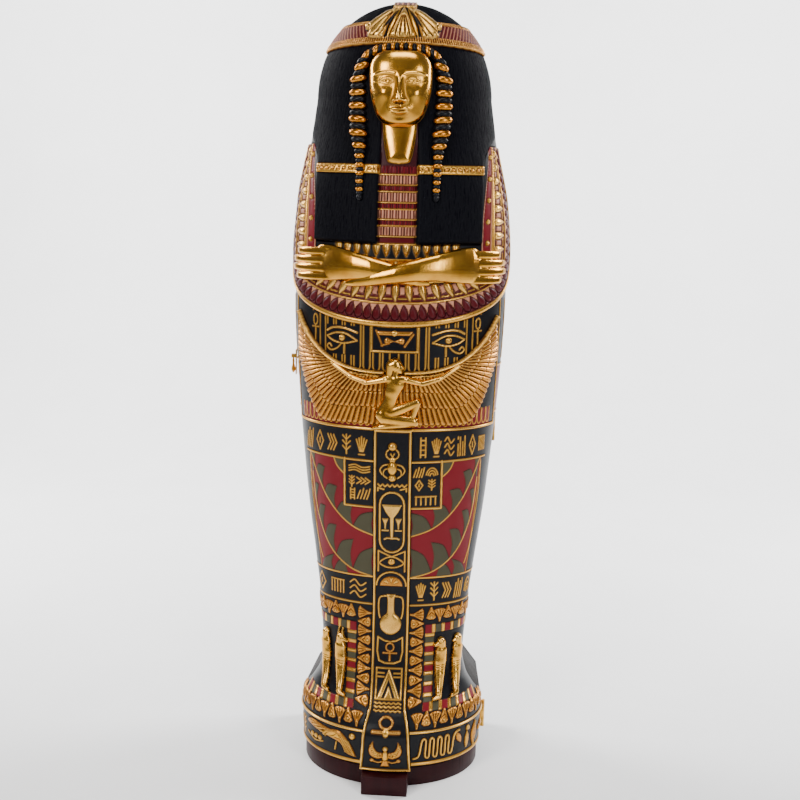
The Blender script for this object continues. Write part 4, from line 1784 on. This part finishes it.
# %% The kneeling figure
figure = fine_sheet(-0.175, 0.180, 0.892, 1.084)
BODY = (
    ((0.003, 1.0575, 0.0150, 0.0120), (0.005, 1.0545, 0.0145, 0.0125), 0.006),
    ((0.011, 1.052, 0.0100, 0.0120), (0.013, 1.0455, 0.0082, 0.0110), 0.006),
    ((0.0150, 1.0415, 0.0052, 0.0095), (0.0172, 1.0405, 0.0040, 0.0085), 0.006),
    ((0.0190, 1.0525, 0.0030, 0.0080), (0.0228, 1.0490, 0.0019, 0.0060), 0.006),
    ((-0.006, 1.056, 0.0120, 0.0115), (-0.010, 1.033, 0.0085, 0.0085), 0.005),
    ((0.005, 1.040, 0.0070, 0.009), (0.004, 1.026, 0.0085, 0.010), 0.006),
    ((-0.022, 1.024, 0.0095, 0.010), (0.032, 1.0245, 0.0095, 0.010), 0.006),
    ((-0.022, 1.023, 0.0085, 0.009), (-0.062, 1.0135, 0.0070, 0.007), 0.010),
    ((-0.062, 1.0135, 0.0070, 0.007), (-0.100, 1.0260, 0.0058, 0.006), 0.011),
    ((-0.100, 1.0260, 0.0058, 0.006), (-0.142, 1.0520, 0.0048, 0.005), 0.011),
    ((0.032, 1.0235, 0.0085, 0.009), (0.066, 1.0150, 0.0070, 0.007), 0.010),
    ((0.066, 1.0150, 0.0070, 0.007), (0.104, 1.0260, 0.0058, 0.006), 0.011),
    ((0.104, 1.0260, 0.0058, 0.006), (0.148, 1.0540, 0.0048, 0.005), 0.011),
    ((0.004, 1.012, 0.0215, 0.012), (-0.002, 0.994, 0.0185, 0.012), 0.006),
    ((-0.002, 0.994, 0.0175, 0.012), (-0.007, 0.974, 0.0155, 0.011), 0.006),
    ((-0.007, 0.974, 0.0155, 0.011), (-0.015, 0.948, 0.0215, 0.013), 0.006),
    ((-0.024, 0.938, 0.0180, 0.014), (-0.020, 0.932, 0.0170, 0.014), 0.006),
    ((-0.020, 0.931, 0.0165, 0.014), (0.046, 0.924, 0.0125, 0.012), 0.007),
    ((0.050, 0.920, 0.0105, 0.010), (-0.030, 0.9085, 0.0070, 0.008), 0.006),
    ((-0.030, 0.9085, 0.0060, 0.007), (-0.047, 0.9035, 0.0038, 0.005), 0.006),
    ((-0.004, 0.944, 0.0150, 0.012), (0.054, 0.970, 0.0100, 0.010), 0.008),
    ((0.055, 0.968, 0.0095, 0.010), (0.046, 0.938, 0.0072, 0.008), 0.007),
)
body = melt_bones(figure, BODY)
under_brow = (figure.z > 1.042) * (figure.z < 1.063)
body -= 0.0007 * ridge(figure.u - 0.0050 - 0.9 * (figure.z - 1.050), 0.0010) * under_brow
body -= 0.0006 * ridge(figure.z - 1.0530, 0.0010) * (figure.u > 0.0130) * (figure.u < 0.0190)
figure.lift[:] = np.maximum(body, -0.003)
figure.paint[:], figure.gilt[:] = GOLD[0], 1.0
relief_piece("kneeling_figure", figure, body > -0.0012, 1.0)

# %% The four guardians
def guardian_bones(c, inward):
    """Head, shoulders, wrapped body, feet and wig of a guardian who stands at c."""
    return [
        ((c, 0.346, 0.0105, 0.010), (c, 0.336, 0.0090, 0.010), 0.004),
        ((c, 0.340, 0.0085, 0.008), (c, 0.324, 0.0145, 0.010), 0.004),
        ((c - inward * 0.002, 0.322, 0.0145, 0.011), (c, 0.296, 0.0160, 0.011), 0.004),
        ((c, 0.296, 0.0160, 0.011), (c, 0.262, 0.0128, 0.010), 0.004),
        ((c, 0.262, 0.0128, 0.010), (c + inward * 0.001, 0.224, 0.0090, 0.009), 0.004),
        ((c + inward * 0.001, 0.224, 0.0082, 0.009), (c, 0.214, 0.0080, 0.008), 0.004),
        ((c, 0.213, 0.0070, 0.008), (c + inward * 0.014, 0.2095, 0.0048, 0.006), 0.004),
        ((c - inward * 0.005, 0.344, 0.0080, 0.008), (c - inward * 0.008, 0.322, 0.0060, 0.007), 0.003),
    ]


# What each head has besides: a snout (its ears follow below), nothing, a muzzle and a beak.
HEADS = {
    (-1, 0): [(0.004, 0.344, 0.0065, 0.008, 0.019, 0.338, 0.0030, 0.005)],
    (-1, 1): [],
    (1, 0): [(0.006, 0.342, 0.0065, 0.008, 0.015, 0.337, 0.0042, 0.006)],
    (1, 1): [(0.006, 0.344, 0.0055, 0.007, 0.014, 0.339, 0.0016, 0.003)],
}
for side in (-1, 1):
    for k, u in enumerate((0.1285, 0.180)):
        name = f"guardian_{'left' if side < 0 else 'right'}_{'inner' if k == 0 else 'outer'}"
        sheet = fine_sheet(side * u - 0.026, side * u + 0.026, 0.200, 0.386)
        c, inward = side * u, -side
        bones = guardian_bones(c, inward)
        for a, z, wide, thick, tip_a, tip_z, tip_wide, tip_thick in HEADS[side, k]:
            root, tip = (c + inward * a, z, wide, thick), (c + inward * tip_a, tip_z, tip_wide, tip_thick)
            bones.append((root, tip, 0.004))
        if (side, k) == (-1, 0):
            for d in (-0.006, 0.004):
                bones.append(((c + d, 0.352, 0.0038, 0.006), (c + d + 0.001, 0.371, 0.0014, 0.003), 0.004))
        body = melt_bones(sheet, bones, 0.0007)
        for level in (0.276, 0.282, 0.288):
            body -= 0.0008 * ridge(sheet.z - level, 0.0010)
        body -= 0.0009 * ridge(sheet.u - c, 0.0010) * (sheet.z < 0.262)
        body -= 0.0010 * ridge(np.hypot(sheet.u - c - inward * 0.005, sheet.z - 0.346), 0.0018)
        sheet.lift[:] = np.maximum(body, -0.003)
        sheet.paint[:], sheet.gilt[:] = GOLD[0], 1.0
        relief_piece(name, sheet, body > -0.0012, 0.5)

# %% [markdown]
# ## Stained boards, lacquer and brass
# The boards are stained dark with a vertical grain and open pores, the plinth is lacquered
# maroon over the same grain, and the fittings are warm brass with a brushed grain, tarnished in
# patches. The riser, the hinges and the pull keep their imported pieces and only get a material.

# %% Materials for the case and the fittings


def wood_finish(name, dark, light, gloss):
    material, tree, shader = new_material(name)
    grain = noise(tree, 38.0, 5.0, 0.6, (1.0, 1.0, 0.05))
    pores = noise(tree, 240.0, 2.0, 0.5, (1.0, 1.0, 0.03))
    cloudy = noise(tree, 4.0, 2.0)
    tone = mixed(tree, ramp(tree, grain, 0.35, 0.68), (*dark, 1.0), (*light, 1.0))
    tone = mixed(tree, ramp(tree, cloudy, 0.35, 0.70, 0.0, 0.45), tone, (*dark, 1.0))
    tone = mixed(tree, ramp(tree, pores, 0.60, 0.72, 0.0, 0.55), tone, tuple(0.35 * c for c in dark) + (1.0,))
    tree.links.new(tone, shader.inputs["Base Color"])
    rough = ramp(tree, grain, 0.3, 0.7, gloss, gloss + 0.10)
    rough = reckon(tree, "ADD", rough, ramp(tree, pores, 0.55, 0.75, 0.0, 0.12))
    tree.links.new(rough, shader.inputs["Roughness"])
    shader.inputs["Specular IOR Level"].default_value = 0.12
    rises = reckon(tree, "MULTIPLY", grain, 0.6)
    rises = reckon(tree, "SUBTRACT", rises, ramp(tree, pores, 0.58, 0.72, 0.0, 0.5))
    bumped(tree, shader, rises, 0.30, 0.0006)
    return material


def brass_finish():
    material, tree, shader = new_material("warm_brass")
    brushed, cloudy = noise(tree, 300.0, 3.0, 0.5, (1.0, 1.0, 0.08)), noise(tree, 60.0, 3.0)
    tone = mixed(tree, ramp(tree, cloudy, 0.42, 0.66), (0.76, 0.40, 0.060, 1), (0.44, 0.19, 0.028, 1))
    tone = mixed(tree, ramp(tree, brushed, 0.35, 0.65, 0.0, 0.25), tone, (0.86, 0.52, 0.13, 1))
    tree.links.new(tone, shader.inputs["Base Color"])
    shader.inputs["Metallic"].default_value = 1.0
    rough = ramp(tree, cloudy, 0.4, 0.7, 0.22, 0.40)
    rough = reckon(tree, "ADD", rough, ramp(tree, brushed, 0.3, 0.7, 0.0, 0.08))
    tree.links.new(rough, shader.inputs["Roughness"])
    bumped(tree, shader, brushed, 0.18, 0.0004)
    return material


case_wood = wood_finish("stained_boards", (0.0040, 0.0024, 0.0022), (0.0120, 0.0062, 0.0045), 0.56)
plinth_lacquer = wood_finish("maroon_lacquer", (0.016, 0.0017, 0.0028), (0.026, 0.0028, 0.0042), 0.34)
brass = brass_finish()
for start, chosen in (
    ("case_", case_wood), ("plinth", plinth_lacquer), ("hinge_", brass), ("pull_", brass),
):
    for thing in bpy.data.objects:
        if thing.name.startswith(start):
            thing.material_slots[0].material = chosen
            print(thing.name, "gets", chosen.name)

# %% [markdown]
# ## Eased edges for the boards
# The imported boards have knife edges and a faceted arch. Copies of them are merged, their flat
# faces dissolved into one, every sharp edge planed round by a millimetre and the shallow facets
# of the arch and the plinth shaded as one curve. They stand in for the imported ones.

# %% Plane the edges


def planed_copy(node, name, width, material):
    """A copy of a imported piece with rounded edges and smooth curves."""
    copy = own_copy(bpy.data.objects[node])
    copy.name = copy.data.name = name
    bm = bmesh.new()
    bm.from_mesh(copy.data)
    bmesh.ops.remove_doubles(bm, verts=bm.verts, dist=1e-5)
    bmesh.ops.dissolve_limit(bm, angle_limit=math.radians(0.6), verts=bm.verts, edges=bm.edges)
    bm.to_mesh(copy.data)
    bm.free()
    pick([copy])
    round_edges = copy.modifiers.new("round_edges", "BEVEL")
    round_edges.width, round_edges.segments = width, 2
    round_edges.limit_method, round_edges.angle_limit = "ANGLE", math.radians(32)
    bpy.ops.object.modifier_apply(modifier=round_edges.name)
    bpy.ops.object.shade_smooth_by_angle(angle=math.radians(32))
    copy.data.materials.clear()
    finish_piece(copy, material, "case", node)


planed_copy("case_sides", "shell_boards", 0.0012, case_wood)
planed_copy("case_back", "back_board", 0.0010, case_wood)
planed_copy("plinth", "footing", 0.0015, plinth_lacquer)

# %% [markdown]
# ## Floor, light and camera
# A plain pale floor that curves up into a backdrop, lamps of its own for that backdrop, large
# soft lamps for the piece and a camera at the height and angle from which the real one was seen.

# %% Stage


def sweep_backdrop(wide=15.0, front=-5.0, bend=2.6, radius=1.6, top=5.0, steps=16):
    """A floor that curves up behind, drawn as one line and extruded sideways."""
    turns = np.linspace(0, math.pi / 2, steps)
    curve = [(bend + radius * math.sin(a), radius - radius * math.cos(a)) for a in turns]
    line = [(front, 0.0)] + curve + [(bend + radius, top)]
    bm = bmesh.new()
    sides = [[bm.verts.new((x, y, z)) for y, z in line] for x in (wide / 2, -wide / 2)]
    for k in range(len(line) - 1):
        bm.faces.new((sides[0][k], sides[0][k + 1], sides[1][k + 1], sides[1][k])).smooth = True
    mesh = bpy.data.meshes.new("floor")
    bm.to_mesh(mesh)
    bm.free()
    return new_object("floor", mesh)


floor = sweep_backdrop()
floor_paint, floor_tree, floor_shader = new_material("pale_floor")
speckle = ramp(floor_tree, noise(floor_tree, 3.0), 0.3, 0.7, 0.88, 0.91)
tint = add_node(floor_tree, "ShaderNodeCombineColor", {0: speckle, 1: speckle, 2: speckle})
floor_tree.links.new(tint.outputs[0], floor_shader.inputs["Base Color"])
floor_shader.inputs["Roughness"].default_value = 0.7
floor.data.materials.append(floor_paint)

world = bpy.data.worlds.new("studio")
bpy.context.scene.world = world
world.use_nodes = True
sky = world.node_tree.nodes["Background"]
sky.inputs["Color"].default_value = (0.93, 0.95, 1.0, 1)
sky.inputs["Strength"].default_value = 0.16


def soft_lamp(name, place, target, size, power, warm=(1, 1, 1)):
    lamp = bpy.data.lights.new(name, "AREA")
    lamp.shape, lamp.size, lamp.size_y = "RECTANGLE", *size
    lamp.energy, lamp.color = power, warm
    thing = new_object(name, lamp)
    thing.location = place
    thing.rotation_euler = (Vector(target) - Vector(place)).to_track_quat("-Z", "Y").to_euler()


soft_lamp("key", (-1.7, -2.7, 2.6), (0, 0, 1.1), (1.1, 1.7), 88, (1.0, 0.97, 0.92))
soft_lamp("fill", (1.9, -2.5, 1.8), (0, 0, 0.9), (0.8, 2.0), 48, (0.97, 0.98, 1.0))
soft_lamp("top", (0.1, -0.9, 3.7), (0, -0.1, 1.0), (1.2, 0.8), 26)
for side in (-1, 1):
    soft_lamp(f"backdrop_{side}", (side * 2.6, 1.2, 2.8), (side * 0.5, 3.9, 0.8), (1.2, 2.4), 330)
print("lamps", len(bpy.data.lights))

# %% Camera
DISTANCE, EYE_HEIGHT = 2.9, 1.5
YAW, PITCH, ROLL = math.radians(3.7), math.radians(10.97), math.radians(-1.24)
ahead = Vector((-math.sin(YAW) * math.cos(PITCH), math.cos(YAW) * math.cos(PITCH), -math.sin(PITCH)))
level = Vector((math.cos(YAW), math.sin(YAW), 0))
upright = level.cross(ahead)
right = level * math.cos(ROLL) - upright * math.sin(ROLL)
up = level * math.sin(ROLL) + upright * math.cos(ROLL)
eye = bpy.data.cameras.new("camera")
eye.lens, eye.sensor_width, eye.shift_x = 53.4, 36.0, 0.0019
camera = new_object("camera", eye)
turn = Matrix((right, up, -ahead)).transposed().to_4x4()
stand = Matrix.Translation((math.sin(YAW) * DISTANCE, -math.cos(YAW) * DISTANCE, EYE_HEIGHT))
camera.matrix_world = stand @ turn
bpy.context.scene.camera = camera
print("camera at", [round(v, 3) for v in camera.matrix_world.translation])
